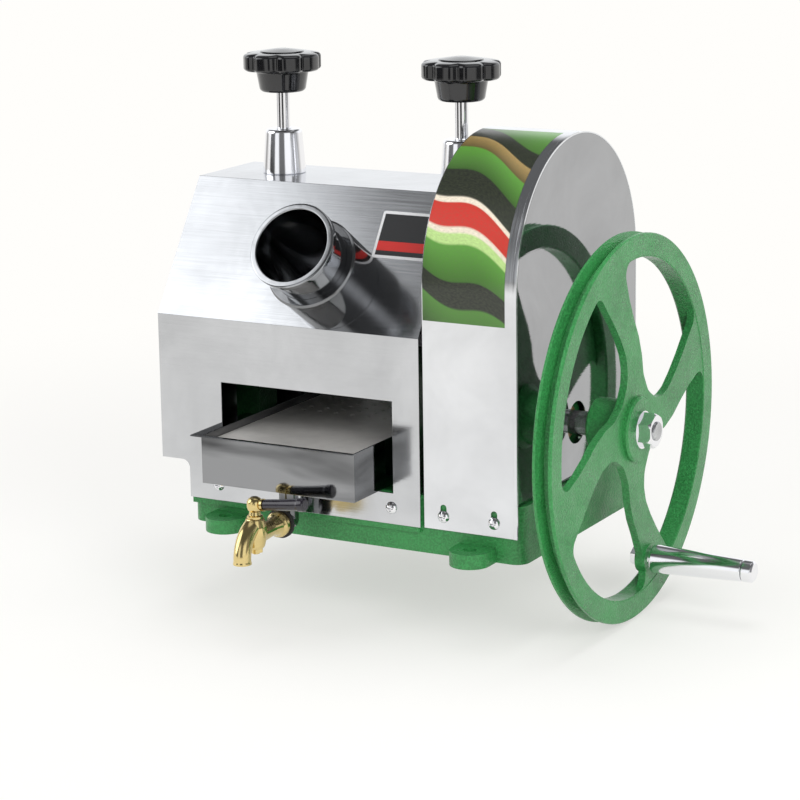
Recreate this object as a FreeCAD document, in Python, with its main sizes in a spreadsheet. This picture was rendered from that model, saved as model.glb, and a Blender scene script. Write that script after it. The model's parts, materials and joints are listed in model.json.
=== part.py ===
"""Hand-cranked three-roller sugarcane press, in millimetres.

The origin is the centre of the base's bolt-hole pattern, on the underside of the base.
+Z is up, the feed tube and the juice tray face -Y, and the hand wheel is on the +X side.
"""
import FreeCAD, Part
import math
import os
import re

import Sketcher

doc = FreeCAD.newDocument("sugarcane_press")
dims = doc.addObject("Spreadsheet::Sheet", "dims")

# Driving dimensions: alias, value, meaning
SIZES = [
    ("wheel_radius", 200, "hand wheel, outside of the rim"),
    ("rim_width", 21, "hand wheel rim, along the shaft"),
    ("rim_depth", 24, "hand wheel rim, radially"),
    ("groove_depth", 11, "belt groove in the rim"),
    ("groove_lip", 3.6, "thickness of each rim flange at the groove's mouth"),
    ("web_thickness", 8, "spokes, along the shaft"),
    ("window_corner", 13, "corners of the wheel's openings at the rim"),
    ("spoke_bend", 22, "rounding along the curved spokes"),
    ("web_recess", 0.6, "spokes behind the rim's front face"),
    ("hub_radius", 34, "front boss of the wheel hub"),
    ("hub_back_radius", 29, "rear boss of the wheel hub"),
    ("hub_length", 50, "hub along the shaft"),
    ("spoke_angle", 0, "angle of the first spoke's root above the rearward line"),
    ("grip_angle", -76.5, "angle of the crank handle above the rearward line"),
    ("wheel_gap", 46, "side panel to the rim's inner face"),
    ("crank_height", 117, "crank shaft above the underside of the base"),
    ("crank_setback", -15, "crank shaft, Y"),
    ("crank_radius", 12.5, "crank shaft"),
    ("stud_radius", 10, "threaded end of the crank shaft"),
    ("grip_orbit", 150, "handle axis from the wheel axis"),
    ("grip_length", 100, "tapered crank handle"),
    ("grip_radius", 15, "crank handle at the wheel"),
    ("grip_end_radius", 11.5, "crank handle at its free end"),
    ("spindle_radius", 5, "spindle of the crank handle"),
    ("base_length", 391, "base casting, X"),
    ("cover_reach", 5, "front of the covers ahead of the base"),
    ("base_height", 60, "base casting, Z"),
    ("base_wall", 9, "base walls and deck"),
    ("base_corner", 14, "radius of the base's upright corners"),
    ("lug_spacing_long", 288, "bolt holes, X"),
    ("lug_spacing_deep", 334, "bolt holes, Y"),
    ("lug_radius", 21, "bolt lugs"),
    ("lug_height", 15, "bolt lugs"),
    ("lug_hole_radius", 7, "holes for 12 mm bolts"),
    ("sheet_thickness", 1.5, "stainless covers"),
    ("cover_left", -228, "left side of the main cover"),
    ("cover_right", 82, "right side of the main cover"),
    ("cover_front", -156, "front face of the main cover"),
    ("cover_foot", 27, "lower edge of the main cover's front"),
    ("cover_bend", 222, "height of the bend between front and slanted panel"),
    ("cover_top", 355, "height of the flat top"),
    ("rear_bend", 222, "height of the bend between rear and rear slanted panel"),
    ("top_front", -68, "front edge of the flat top"),
    ("top_rear", 42, "rear edge of the flat top"),
    ("cover_rear", 133, "rear face of the covers"),
    ("cover_rear_foot", 61, "lower edge of the rear faces, above the deck"),
    ("notch_left", -194, "side of the notch in the front's lower left corner"),
    ("notch_top", 67, "top of that notch"),
    ("mouth_left", -152, "tray opening, left"),
    ("mouth_right", 51, "tray opening, right"),
    ("mouth_bottom", 59.5, "tray opening, lower edge"),
    ("mouth_top", 155, "tray opening, upper edge"),
    ("gear_cover_left", 85, "inner side of the gear cover"),
    ("gear_cover_right", 190, "outer side of the gear cover"),
    ("arch_radius", 143, "outside of the gear cover's arch"),
    ("arch_centre_y", -10, "axis of the arch, Y"),
    ("arch_centre_z", 273, "axis of the arch, Z"),
    ("gear_cover_foot", 27, "lower edge of the gear cover's front"),
    ("side_foot", 61, "lower edge of the gear cover's side panel"),
    ("shaft_window_radius", 22, "hole round the crank shaft in the side panel"),
    ("tube_place", -28.5, "feed tube axis, X"),
    ("tube_rise", 49, "feed tube axis above the bend, along the slanted panel"),
    ("tube_bore", 38.5, "feed tube, inside radius"),
    ("tube_wall", 1.8, "feed tube wall"),
    ("tube_reach", 100, "feed tube above the slanted panel"),
    ("tube_inset", 12, "feed tube below the slanted panel"),
    ("lip_bead", 3.2, "half thickness of the tube's rolled lip"),
    ("collar_radius", 49, "collar round the tube"),
    ("collar_height", 57, "collar above the slanted panel"),
    ("collar_wall", 1.8, "collar wall"),
    ("roller_radius", 41.5, "all three rollers"),
    ("roller_gap", 2.5, "between the top roller and each lower roller"),
    ("lower_spread", 98, "between the lower rollers' axes"),
    ("roller_clearance", 2, "roller end to side frame"),
    ("rib_depth", 1.6, "grip flutes in the rollers"),
    ("shaft_radius", 14, "roller shafts"),
    ("running", 0.05, "radial running clearance"),
    ("frame_thickness", 28, "side frames"),
    ("frame_left", -157, "mid plane of the left side frame"),
    ("frame_right", 57, "mid plane of the right side frame"),
    ("frame_half_depth", 86, "side frame either side of the roller axis"),
    ("frame_drop", 37, "flat top above the side frames"),
    ("frame_shoulder", 240, "height where the side frames start to narrow"),
    ("frame_top_half", 52, "half depth of the side frames at the top"),
    ("cap_thickness", 18, "cross piece on top of each side frame"),
    ("block_width", 66, "top bearing blocks, Y"),
    ("block_height", 60, "top bearing blocks, Z"),
    ("slide_gap", 0.25, "bearing block to its guide, each side"),
    ("bush_wall", 5, "bronze bushes"),
    ("pad_thickness", 6, "thrust pad between screw and bearing block"),
    ("pad_radius", 15, "thrust pad"),
    ("screw_radius", 7, "adjusting screws"),
    ("sleeve_height", 47, "chrome sleeves on the flat top"),
    ("sleeve_bottom_radius", 23, "chrome sleeves, foot"),
    ("sleeve_top_radius", 19.5, "chrome sleeves, top"),
    ("knob_height", 441, "underside of the star knobs"),
    ("knob_radius", 44, "star knobs, over the lobes"),
    ("knob_lobes", 8, "lobes on a star knob"),
    ("knob_disc", 20, "thickness of the star knob's lobed disc"),
    ("knob_cup", 22, "height of the star knob's cup"),
    ("tooth_module", 5, "all gears"),
    ("pinion_teeth", 14, "pinion on the crank shaft"),
    ("wheel_teeth", 45, "large gear on the top roller"),
    ("roller_teeth", 17, "gear on each roller"),
    ("roller_backlash", 1.4, "play between roller gears"),
    ("drive_backlash", 0.6, "play between pinion and large gear"),
    ("roller_gear_width", 24, "roller gears"),
    ("drive_gear_width", 28, "large gear"),
    ("roller_gear_place", 93, "inner face of the roller gears, X"),
    ("drive_gear_place", 121, "inner face of the large gear, X"),
    ("pedestal_place", 159, "inner face of the outer bearing pedestal, X"),
    ("pedestal_width", 22, "outer bearing pedestal, X"),
    ("housing_radius", 26, "bearing housings of the crank shaft"),
    ("tray_left", -140, "juice tray, left wall"),
    ("tray_right", 40, "juice tray, right wall"),
    ("tray_front", -215, "juice tray, front wall"),
    ("tray_rear", 92, "juice tray, rear wall"),
    ("tray_floor", 62.5, "underside of the juice tray"),
    ("tray_rim", 113, "rim of the juice tray"),
    ("tray_sheet", 1.5, "juice tray wall"),
    ("tray_lip", 11, "left side lip of the juice tray"),
    ("lip_rear", -112, "rear end of the side lip"),
    ("drain_place", -60, "tray drain, X"),
    ("drain_setback", -177, "tray drain, Y"),
    ("drain_radius", 10, "drain pipe"),
    ("drain_wall", 1.5, "drain pipe wall"),
    ("tap_height", 24, "axis of the tap's inlet"),
    ("gasket_place", -192, "rear face of the gasket, Y"),
    ("gasket_thickness", 3, "rubber gasket"),
    ("gasket_radius", 15.5, "rubber gasket"),
    ("plug_place", -243, "axis of the tap's plug, Y"),
    ("plug_radius", 7, "tap plug"),
    ("tap_body_radius", 12, "round body of the tap"),
    ("spout_radius", 9, "tap spout"),
    ("spout_bend", 34, "bend of the tap spout, to its centre line"),
    ("spout_reach", 26, "tap outlet ahead of the plug"),
    ("flange_radius", 13.4, "collar of the tap against its gasket"),
    ("lever_bar_radius", 3.5, "brass bar inside the tap lever"),
    ("lever_tilt", 7, "rise of the tap lever"),
    ("lever_length", 60, "tap lever from the plug's axis"),
    ("lever_radius", 6.2, "black grip of the tap lever"),
    ("panel_screw_left", -158, "left screw of the main cover, X"),
    ("panel_screw_right", 49, "right screw of the main cover, X"),
    ("panel_screw_height", 44, "screws of the main cover, Z"),
    ("gear_screw_left", 107, "left screw of the gear cover, X"),
    ("gear_screw_right", 164, "right screw of the gear cover, X"),
    ("gear_screw_height", 41, "screws of the gear cover, Z"),
    ("screw_core", 3, "shank of the cover screws"),
    ("slot_width", 6.8, "upright slots for the gear cover's screws"),
    ("slot_rise", 9, "upright slots above the gear cover's screws"),
    ("bead_width", 4, "rolled edge of the gear cover"),
    ("bead_rise", 0.8, "rolled edge above the gear cover's sheet"),
    ("screw_head", 6.5, "head of the cover screws"),
    ("foot_bolt_offset", 68, "foot bolts of the side frames, from the roller plane"),
    ("foot_bolt_radius", 5, "foot bolts"),
    ("cap_bolt_offset", 42.5, "cap bolts, from the roller plane"),
    ("cap_bolt_radius", 4, "cap bolts"),
    ("pedestal_bolt_offset", 42, "pedestal bolts, from the crank shaft"),
    ("key_width", 8, "keys in the shafts"),
    ("chute_drop", 70, "fall of the bagasse chute"),
    ("chute_reach", 42, "bagasse chute behind the rear cover"),
    ("outlet_bottom", 150, "bagasse outlet in the rear, lower edge"),
    ("outlet_top", 212, "bagasse outlet in the rear, upper edge"),
    ("strainer_drop", 8, "strainer plate below the tray's rim"),
    ("strainer_hole", 2.5, "holes in the strainer plate, radius"),
    ("decal_bottom", 241, "lower edge of the printed film on the gear cover"),
    ("decal_width", 91, "printed film, X"),
    ("decal_skin", 0.3, "thickness of the printed film"),
]
for row, (alias, value, meaning) in enumerate(SIZES, start=1):
    dims.set("A%d" % row, meaning)
    dims.set("B%d" % row, str(value))
    dims.setAlias("B%d" % row, alias)
doc.recompute()
ALIASES = {alias for alias, value, meaning in SIZES}


def size(alias):
    """The number in a named cell."""
    return float(dims.get(alias))


def bound(text):
    """An expression with every alias pointing at its cell."""
    return re.sub(r"[a-z_]+", lambda m: "dims." + m.group() if m.group() in ALIASES else m.group(),
                  str(text))


def bind(thing, **expressions):
    """Binds properties of an object to expressions."""
    for name, text in expressions.items():
        thing.setExpression(name, bound(text))


def place(thing, x, y, z, axis=None, angle=0):
    """Binds an object's place, with a fixed turn where one is given."""
    if axis is not None:
        turn = FreeCAD.Rotation(FreeCAD.Vector(*axis), angle)
        thing.Placement = FreeCAD.Placement(FreeCAD.Vector(), turn)
    for letter, text in zip("xyz", (x, y, z)):
        thing.setExpression(".Placement.Base." + letter, bound(text))
    return thing


TURNS = {"X": ((0, 1, 0), 90), "Y": ((1, 0, 0), -90), "Z": ((0, 0, 1), 0)}


def box(label, x, y, z, dx, dy, dz):
    """A block from its lowest corner and its three sizes."""
    thing = doc.addObject("Part::Box", label)
    bind(thing, Length=dx, Width=dy, Height=dz)
    return place(thing, x, y, z)


def rod(label, along, x, y, z, radius, length):
    """A round bar from the centre of its first end, along X, Y or Z."""
    thing = doc.addObject("Part::Cylinder", label)
    bind(thing, Radius=radius, Height=length)
    axis, angle = TURNS[along]
    return place(thing, x, y, z, axis, angle)


def cone(label, along, x, y, z, radius_one, radius_two, length):
    """A tapered round bar from the centre of its first end."""
    thing = doc.addObject("Part::Cone", label)
    bind(thing, Radius1=radius_one, Radius2=radius_two, Height=length)
    axis, angle = TURNS[along]
    return place(thing, x, y, z, axis, angle)


def ball(label, x, y, z, radius):
    """A ball about its centre."""
    thing = doc.addObject("Part::Sphere", label)
    bind(thing, Radius=radius)
    return place(thing, x, y, z)


def quarter(label, x, y, z, bend, radius, sweep):
    """A bent round bar about a centre at X, Y, Z: from in front of it upwards through a sweep."""
    thing = doc.addObject("Part::Torus", label)
    thing.Angle3 = sweep
    bind(thing, Radius1=bend, Radius2=radius)
    return place(thing, x, y, z, (1, -1, -1), 120)


def hexagon(label, along, x, y, z, across_flats, length):
    """A hexagonal bar from the centre of its first end."""
    thing = doc.addObject("Part::Prism", label)
    thing.Polygon = 6
    bind(thing, Circumradius="(%s) / sqrt(3)" % across_flats, Height=length)
    axis, angle = TURNS[along]
    return place(thing, x, y, z, axis, angle)


def fuse(label, *parts):
    """Several solids as one."""
    thing = doc.addObject("Part::MultiFuse", label)
    thing.Shapes = list(parts)
    return thing


def cut(label, solid, *tools):
    """A solid less one or more others."""
    thing = doc.addObject("Part::Cut", label)
    thing.Base = solid
    thing.Tool = tools[0] if len(tools) == 1 else fuse(label + "_tools", *tools)
    return thing


def common(label, one, other):
    """What two solids share."""
    thing = doc.addObject("Part::Common", label)
    thing.Base = one
    thing.Tool = other
    return thing


def rounded(label, solid, radius, chosen):
    """A solid with some edges rounded: chosen is a test on an edge."""
    doc.recompute()
    thing = doc.addObject("Part::Fillet", label)
    thing.Base = solid
    edges = solid.Shape.Edges
    thing.Edges = [(n, radius, radius) for n, edge in enumerate(edges, start=1) if chosen(edge)]
    return thing


def runs_along(edge, letter):
    """True for a straight edge along X, Y or Z."""
    if edge.Curve.TypeId != "Part::GeomLine":
        return False
    return abs(getattr(edge.tangentAt(edge.FirstParameter), letter.lower())) > 0.999


def outline(body, name, role, points):
    """A closed outline in one of a body's own planes, each corner bound to the sheet."""
    sketch = body.newObject("Sketcher::SketchObject", name)
    plane = [item for item in body.Origin.OriginFeatures if item.Role == role][0]
    sketch.AttachmentSupport = (plane, [""])
    sketch.MapMode = "FlatFace"
    add_loop(sketch, points)
    return sketch


def add_loop(sketch, points):
    """One closed loop of straight lines in a sketch."""
    count = len(points)
    first = sketch.GeometryCount
    rough = []
    for n in range(count):
        turn = 2 * math.pi * n / count
        rough.append(FreeCAD.Vector(50 * math.cos(turn), 50 * math.sin(turn), 0))
    for n in range(count):
        sketch.addGeometry(Part.LineSegment(rough[n], rough[(n + 1) % count]))
    for n in range(count):
        here = first + n
        there = first + (n + 1) % count
        sketch.addConstraint(Sketcher.Constraint("Coincident", here, 2, there, 1))
    for n, (across, up) in enumerate(points):
        for kind, text, start in (("DistanceX", across, rough[n].x), ("DistanceY", up, rough[n].y)):
            number = sketch.addConstraint(Sketcher.Constraint(kind, -1, 1, first + n, 1, start))
            sketch.setExpression("Constraints[%d]" % number, bound(text))


def turned(label, along, points, x="0", y="0", z="0"):
    """A solid of revolution: points are (distance along the axis, radius)."""
    body = doc.addObject("PartDesign::Body", label)
    if along == "X":
        sketch = outline(body, label + "_profile", "XZ_Plane", points)
        axis = "H_Axis"
    else:
        sketch = outline(body, label + "_profile", "XZ_Plane", [(r, a) for a, r in points])
        axis = "V_Axis"
    turn = body.newObject("PartDesign::Revolution", label + "_turned")
    turn.Profile = sketch
    turn.ReferenceAxis = (sketch, [axis])
    turn.Angle = 360
    sketch.Visibility = False
    return place(body, x, y, z)


def pushed(label, role, points, length, x="0", y="0", z="0", axis=None, angle=0):
    """A flat outline given a thickness: YZ_Plane grows along +X, XY_Plane along +Z, XZ_Plane along -Y."""
    body = doc.addObject("PartDesign::Body", label)
    sketch = outline(body, label + "_outline", role, points)
    pad = body.newObject("PartDesign::Pad", label + "_pad")
    pad.Profile = sketch
    pad.setExpression("Length", bound(length))
    return place(body, x, y, z, axis, angle)


def smoothed(label, solid):
    """A wheel opening with its corners rounded: tight at the rim, wide elsewhere."""
    doc.recompute()
    thing = doc.addObject("Part::Fillet", label)
    thing.Base = solid
    rim = size("wheel_radius") - size("rim_depth")
    edges = []
    for number, edge in enumerate(solid.Shape.Edges, start=1):
        if runs_along(edge, "X"):
            spot = edge.CenterOfMass
            out = math.hypot(spot.y - size("crank_setback"), spot.z - size("crank_height"))
            radius = size("window_corner") if out > rim - 1 else size("spoke_bend")
            edges.append((number, radius, radius))
    thing.Edges = edges
    return thing


PARTS = []


def finish_part(thing, name):
    """Names a finished sub-part."""
    thing.Label = name
    PARTS.append((name, thing))
    return thing


def group(name, *parts):
    """Separate solids kept together in one sub-part."""
    thing = doc.addObject("Part::Compound", name + "_group")
    thing.Links = list(parts)
    return thing


# Places worked out from the driving dimensions
BASE_FRONT = "(cover_front + cover_reach)"
BASE_DEPTH = "(-2 * %s)" % BASE_FRONT
FRAME_TOP = "(cover_top - frame_drop)"
DRIVE_DISTANCE = "((pinion_teeth + wheel_teeth) * tooth_module / 2)"
ROLLER_Y = "arch_centre_y"
TOP_Z = "(crank_height + sqrt(%s^2 - (arch_centre_y - crank_setback)^2))" % DRIVE_DISTANCE
ROLLER_DISTANCE = "(2 * roller_radius + roller_gap)"
LOWER_Z = "(%s - sqrt(%s^2 - (lower_spread / 2)^2))" % (TOP_Z, ROLLER_DISTANCE)
FEED_Y = "(arch_centre_y - lower_spread / 2)"
DISCHARGE_Y = "(arch_centre_y + lower_spread / 2)"
LEFT_INNER = "(frame_left + frame_thickness / 2)"
RIGHT_INNER = "(frame_right - frame_thickness / 2)"
LEFT_OUTER = "(frame_left - frame_thickness / 2)"
RIGHT_OUTER = "(frame_right + frame_thickness / 2)"
BUSH_RADIUS = "(shaft_radius + bush_wall)"
RIM_BACK = "(gear_cover_right + wheel_gap)"
RIM_FRONT = "(gear_cover_right + wheel_gap + rim_width)"
HUB_FRONT = "(%s + 5)" % RIM_FRONT
WEB_BACK = "(%s - web_recess - web_thickness)" % RIM_FRONT
HUB_BACK = "(%s - hub_length)" % HUB_FRONT
SLANT = "atan((top_front - cover_front) / (cover_top - cover_bend))"
REAR_SLANT = "atan((cover_rear - top_rear) / (cover_top - rear_bend))"


# Corners of the opening between two spokes: along and across the first spoke, in inner rim radii
WINDOW = ((0.17, 0.193), (0.284, 0.125), (0.375, 0.119), (0.466, 0.148), (0.563, 0.216), (0.67, 0.307),
          (0.773, 0.409), (1.08, 0.7), (1.08, 1.08), (-0.205, 1.08), (-0.148, 0.909), (-0.102, 0.784),
          (-0.034, 0.653), (0.034, 0.54), (0.08, 0.42), (0.102, 0.307))


# Base casting: an upturned pan with four bolt lugs
def base_casting():
    outer = box("base_outer", "-base_length / 2", BASE_FRONT, 0, "base_length", BASE_DEPTH, "base_height")
    outer = rounded("base_rounded", outer, size("base_corner"), lambda edge: runs_along(edge, "Z"))
    hollow = box("base_hollow", "-base_length / 2 + base_wall", BASE_FRONT + " + base_wall", -1,
                 "base_length - 2 * base_wall", BASE_DEPTH + " - 2 * base_wall",
                 "base_height - base_wall + 1")
    seat = box("base_cover_seat", "notch_left + 2", "cover_front + sheet_thickness", "cover_foot - 6",
               "cover_right - notch_left - 4", "cover_reach - sheet_thickness + 1",
               "mouth_bottom - cover_foot + 6")
    pieces = [cut("base_shell", outer, hollow), seat]
    holes = []
    for side in (-1, 1):
        for end in (-1, 1):
            tag = "%s_%s" % ("left" if side < 0 else "right", "front" if end < 0 else "rear")
            x = "%d * lug_spacing_long / 2" % side
            y = "%d * lug_spacing_deep / 2" % end
            pieces.append(rod("lug_%s" % tag, "Z", x, y, 0, "lug_radius", "lug_height"))
            root = "lug_spacing_deep / 2 + %s + base_wall / 2" % BASE_FRONT
            start = y if end < 0 else "-%s - base_wall / 2" % BASE_FRONT
            pieces.append(box("lug_root_%s" % tag, x + " - lug_radius", start, 0,
                              "2 * lug_radius", root, "lug_height"))
            holes.append(rod("lug_hole_%s" % tag, "Z", x, y, -1, "lug_hole_radius", "lug_height + 2"))
    for n, x in enumerate(("frame_left", "frame_right", "pedestal_place + pedestal_width / 2")):
        pieces.append(box("base_rib_%d" % n, "%s - 8" % x, BASE_FRONT + " + base_wall / 2", 12,
                          16, BASE_DEPTH + " - base_wall", "base_height - base_wall / 2 - 12"))
    body = fuse("base_solid", *pieces)
    for n, x in enumerate(SEAT_SCREWS):
        holes.append(rod("seat_tap_%d" % n, "Y", x, "cover_front", "panel_screw_height", "screw_core", 16))
    for n, x in enumerate(GEAR_SCREWS):
        holes.append(rod("gear_tap_%d" % n, "Y", x, "cover_front", "gear_screw_height", "screw_core", 16))
    for n, (x, y, radius) in enumerate(DECK_BOLTS):
        holes.append(rod("deck_hole_%d" % n, "Z", x, y, 11, radius, "base_height"))
    for n, (x, y, radius) in enumerate(DECK_BOLTS[:4]):
        holes.append(rod("head_space_%d" % n, "Z", x, y, 11, 12, "base_height - base_wall - 11"))
    return finish_part(cut("base_cut", body, *holes), "base_casting")


# Side frames with bores for the lower rollers and a guide slot for the top bearing block
def side_frame(name, middle, with_crank):
    half = "frame_half_depth"
    points = [("%s - %s" % (ROLLER_Y, half), "base_height"), ("%s + %s" % (ROLLER_Y, half), "base_height"),
              ("%s + %s" % (ROLLER_Y, half), "frame_shoulder"), (ROLLER_Y + " + frame_top_half", FRAME_TOP),
              (ROLLER_Y + " - frame_top_half", FRAME_TOP), ("%s - %s" % (ROLLER_Y, half), "frame_shoulder")]
    plate = pushed(name + "_plate", "YZ_Plane", points, "frame_thickness", middle + " - frame_thickness / 2")
    start = middle + " - frame_thickness / 2 - 1"
    through = "frame_thickness + 2"
    slot = box(name + "_slot", start, "%s - block_width / 2 - slide_gap" % ROLLER_Y, SLOT_FLOOR,
               through, "block_width + 2 * slide_gap", FRAME_TOP)
    tools = [slot]
    for tag, y in (("feed", FEED_Y), ("discharge", DISCHARGE_Y)):
        tools.append(rod("%s_%s_bore" % (name, tag), "X", start, y, LOWER_Z, BUSH_RADIUS, through))
    if with_crank:
        tools.append(rod(name + "_crank_bore", "X", start, "crank_setback", "crank_height",
                         "crank_radius + bush_wall", through))
        window_top = "crank_height - crank_radius - bush_wall - 12"
    else:
        window_top = "crank_height + 20"
    tools.append(box(name + "_window", start, "%s - 50" % ROLLER_Y, "base_height + 14",
                     through, 100, "%s - base_height - 14" % window_top))
    for tag, y in FOOT_BOLTS:
        tools.append(rod("%s_%s_thread" % (name, tag), "Z", middle, y, "base_height - 1",
                         "foot_bolt_radius", 26))
    for tag, y in CAP_BOLTS:
        tools.append(rod("%s_%s_tap" % (name, tag), "Z", middle, y, FRAME_TOP + " - 22", "cap_bolt_radius",
                         40))
    return finish_part(cut(name + "_cut", plate, *tools), name)


def frame_cap(name, middle):
    plate = box(name + "_plate", middle + " - frame_thickness / 2", ROLLER_Y + " - frame_top_half",
                FRAME_TOP,
                "frame_thickness", "2 * frame_top_half", "cap_thickness")
    plate = rounded(name + "_rounded", plate, 6, lambda edge: runs_along(edge, "Z"))
    boss = rod(name + "_boss", "Z", middle, ROLLER_Y, FRAME_TOP + " + 2", 16,
               "cover_top - sheet_thickness - 0.3 - " + FRAME_TOP + " - 2")
    tools = [rod(name + "_thread", "Z", middle, ROLLER_Y, FRAME_TOP + " - 1", "screw_radius + running", 60)]
    for tag, y in CAP_BOLTS:
        tools.append(rod("%s_%s_hole" % (name, tag), "Z", middle, y, FRAME_TOP + " - 1", "cap_bolt_radius",
                         40))
    return cut(name + "_cut", fuse(name + "_solid", plate, boss), *tools)


def bearing_block(name, middle):
    block = box(name + "_solid", middle + " - frame_thickness / 2", "%s - block_width / 2" % ROLLER_Y,
                "%s - block_height / 2" % TOP_Z, "frame_thickness", "block_width", "block_height")
    block = rounded(name + "_rounded", block, 3, lambda edge: runs_along(edge, "X"))
    bore = rod(name + "_bore", "X", middle + " - frame_thickness / 2 - 1", ROLLER_Y, TOP_Z, BUSH_RADIUS,
               "frame_thickness + 2")
    return cut(name + "_cut", block, bore)


def bush(label, x, y, z, shaft, length):
    outer = rod(label + "_outer", "X", x, y, z, shaft + " + bush_wall", length)
    inner = rod(label + "_inner", "X", "%s - 1" % x, y, z, shaft + " + running", "%s + 2" % length)
    return cut(label, outer, inner)


def bush_pair(name, y, z):
    left = bush(name + "_left", LEFT_OUTER, y, z, "shaft_radius", "frame_thickness")
    right = bush(name + "_right", RIGHT_INNER, y, z, "shaft_radius", "frame_thickness")
    return left, right


# Rollers: a fluted drum on its own shaft
def roller(name, y, z, right_end):
    drum = rod(name + "_drum", "X", LEFT_INNER + " + roller_clearance", y, z, "roller_radius",
               "%s - %s - 2 * roller_clearance" % (RIGHT_INNER, LEFT_INNER))
    drum = rounded(name + "_eased", drum, 2, lambda edge: edge.Curve.TypeId == "Part::GeomCircle")
    flutes = []
    for n in range(FLUTES):
        angle = 360.0 * n / FLUTES
        flutes.append(rod("%s_flute_%d" % (name, n), "X", LEFT_INNER,
                          "%s + roller_radius * cos(%g)" % (y, angle),
                          "%s + roller_radius * sin(%g)" % (z, angle),
                          "rib_depth", "%s - %s" % (RIGHT_INNER, LEFT_INNER)))
    shaft = rod(name + "_shaft", "X", LEFT_OUTER + " - 4", y, z, "shaft_radius",
                "%s - %s + 4" % (right_end, LEFT_OUTER))
    shaft = chamfered(name + "_shaft_eased", shaft)
    return finish_part(fuse(name + "_solid", cut(name + "_fluted", drum, *flutes), shaft), name)


def chamfered(label, solid):
    """A round bar with both end edges broken."""
    doc.recompute()
    thing = doc.addObject("Part::Chamfer", label)
    thing.Base = solid
    edges = solid.Shape.Edges
    thing.Edges = [(n, 1, 1) for n, edge in enumerate(edges, start=1)
                   if edge.Curve.TypeId == "Part::GeomCircle"]
    return thing


# Gears: involute flanks as short straight facets
def flank(radius, base_radius, tooth_angle):
    """Half the angle that a tooth fills at a radius."""
    if radius <= base_radius:
        roll = 0.0
    else:
        roll = math.acos(base_radius / radius)
    return tooth_angle - (math.tan(roll) - roll)


def gear_shape(teeth, play, width, bore, phase):
    """A spur gear about X, from X = 0 to its width, with one tooth at the phase angle."""
    module = size("tooth_module")
    pitch = teeth * module / 2
    base_radius = pitch * math.cos(math.radians(20))
    root = pitch - 1.25 * module
    tip = pitch + module
    half = (math.pi * module / 2 - play / 2) / (2 * pitch)
    roll = math.radians(20)
    tooth_angle = half + math.tan(roll) - roll
    start = max(base_radius, root)
    radii = [start + (tip - start) * part for part in (0, 0.3, 0.65, 1)]
    points = []
    for n in range(teeth):
        middle = phase + 2 * math.pi * n / teeth
        side = [(root, flank(start, base_radius, tooth_angle))]
        side += [(radius, flank(radius, base_radius, tooth_angle)) for radius in radii if radius > root]
        for radius, angle in side:
            points.append((radius, middle - angle))
        for radius, angle in reversed(side):
            points.append((radius, middle + angle))
    corners = [FreeCAD.Vector(0, radius * math.cos(angle), radius * math.sin(angle)) for radius,
               angle in points]
    face = Part.Face(Part.makePolygon(corners + corners[:1]))
    solid = face.extrude(FreeCAD.Vector(width, 0, 0))
    hole = Part.makeCylinder(bore, width + 2, FreeCAD.Vector(-1, 0, 0), FreeCAD.Vector(1, 0, 0))
    return solid.cut(hole)


def meshed_phase(teeth_one, phase_one, direction, teeth_two):
    """The phase of a second gear that meshes with a first one lying in the given direction from it."""
    return direction + math.pi + math.pi / teeth_two - (phase_one - direction) * teeth_one / teeth_two


def gear(name, teeth, play, width, bore, phase, x, y, z, extra=None):
    shape = gear_shape(teeth, play, width, bore, phase)
    if extra is not None:
        shape = extra(shape)
    thing = doc.addObject("Part::Feature", name + "_solid")
    thing.Shape = shape
    place(thing, x, y, z)
    return finish_part(thing, name)


def ring(radius, inner, start, length):
    """A plain collar about X."""
    x_way = FreeCAD.Vector(1, 0, 0)
    outer = Part.makeCylinder(radius, length, FreeCAD.Vector(start, 0, 0), x_way)
    return outer.cut(Part.makeCylinder(inner, length + 2, FreeCAD.Vector(start - 1, 0, 0), x_way))


FLUTES = 24
SEAT_SCREWS = ("panel_screw_left", "panel_screw_right")
GEAR_SCREWS = ("gear_screw_left", "gear_screw_right")
FOOT_BOLTS = (("front_foot", ROLLER_Y + " - foot_bolt_offset"),
              ("rear_foot", ROLLER_Y + " + foot_bolt_offset"))
CAP_BOLTS = (("front_cap", ROLLER_Y + " - cap_bolt_offset"), ("rear_cap", ROLLER_Y + " + cap_bolt_offset"))
PEDESTAL_MIDDLE = "(pedestal_place + pedestal_width / 2)"
DECK_BOLTS = [(x, y, "foot_bolt_radius") for x in ("frame_left", "frame_right") for tag, y in FOOT_BOLTS]
DECK_BOLTS += [(PEDESTAL_MIDDLE, "crank_setback %s pedestal_bolt_offset" % sign, "cap_bolt_radius")
               for sign in ("-", "+")]
SLOT_FLOOR = "(%s - block_height / 2 - 3)" % TOP_Z
BLOCK_TOP = "(%s + block_height / 2)" % TOP_Z
RIM_MIDDLE = "(%s + rim_width / 2)" % RIM_BACK
LOWER_END = "(roller_gear_place + roller_gear_width + 2)"
TOP_END = "(drive_gear_place + drive_gear_width)"
CRANK_START = "(%s + 0.5)" % RIGHT_INNER
PINION_START = "(drive_gear_place - 1.5)"
PINION_WIDTH = "(drive_gear_width + 3)"


# Keys and keyed shafts
def key_block(label, x, length, y, z, radius):
    return box(label, x, "%s - key_width / 2" % y, "%s + %s - key_width / 2" % (z, radius),
               length, "key_width", "key_width * 0.85")


def keyed(radius):
    """Cuts a key seat along a gear's whole bore."""
    width = size("key_width")

    def seat(shape):
        corner = FreeCAD.Vector(-50, -width / 2, radius - width / 2)
        return shape.cut(Part.makeBox(200, width, width * 0.85, corner))
    return seat


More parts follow.
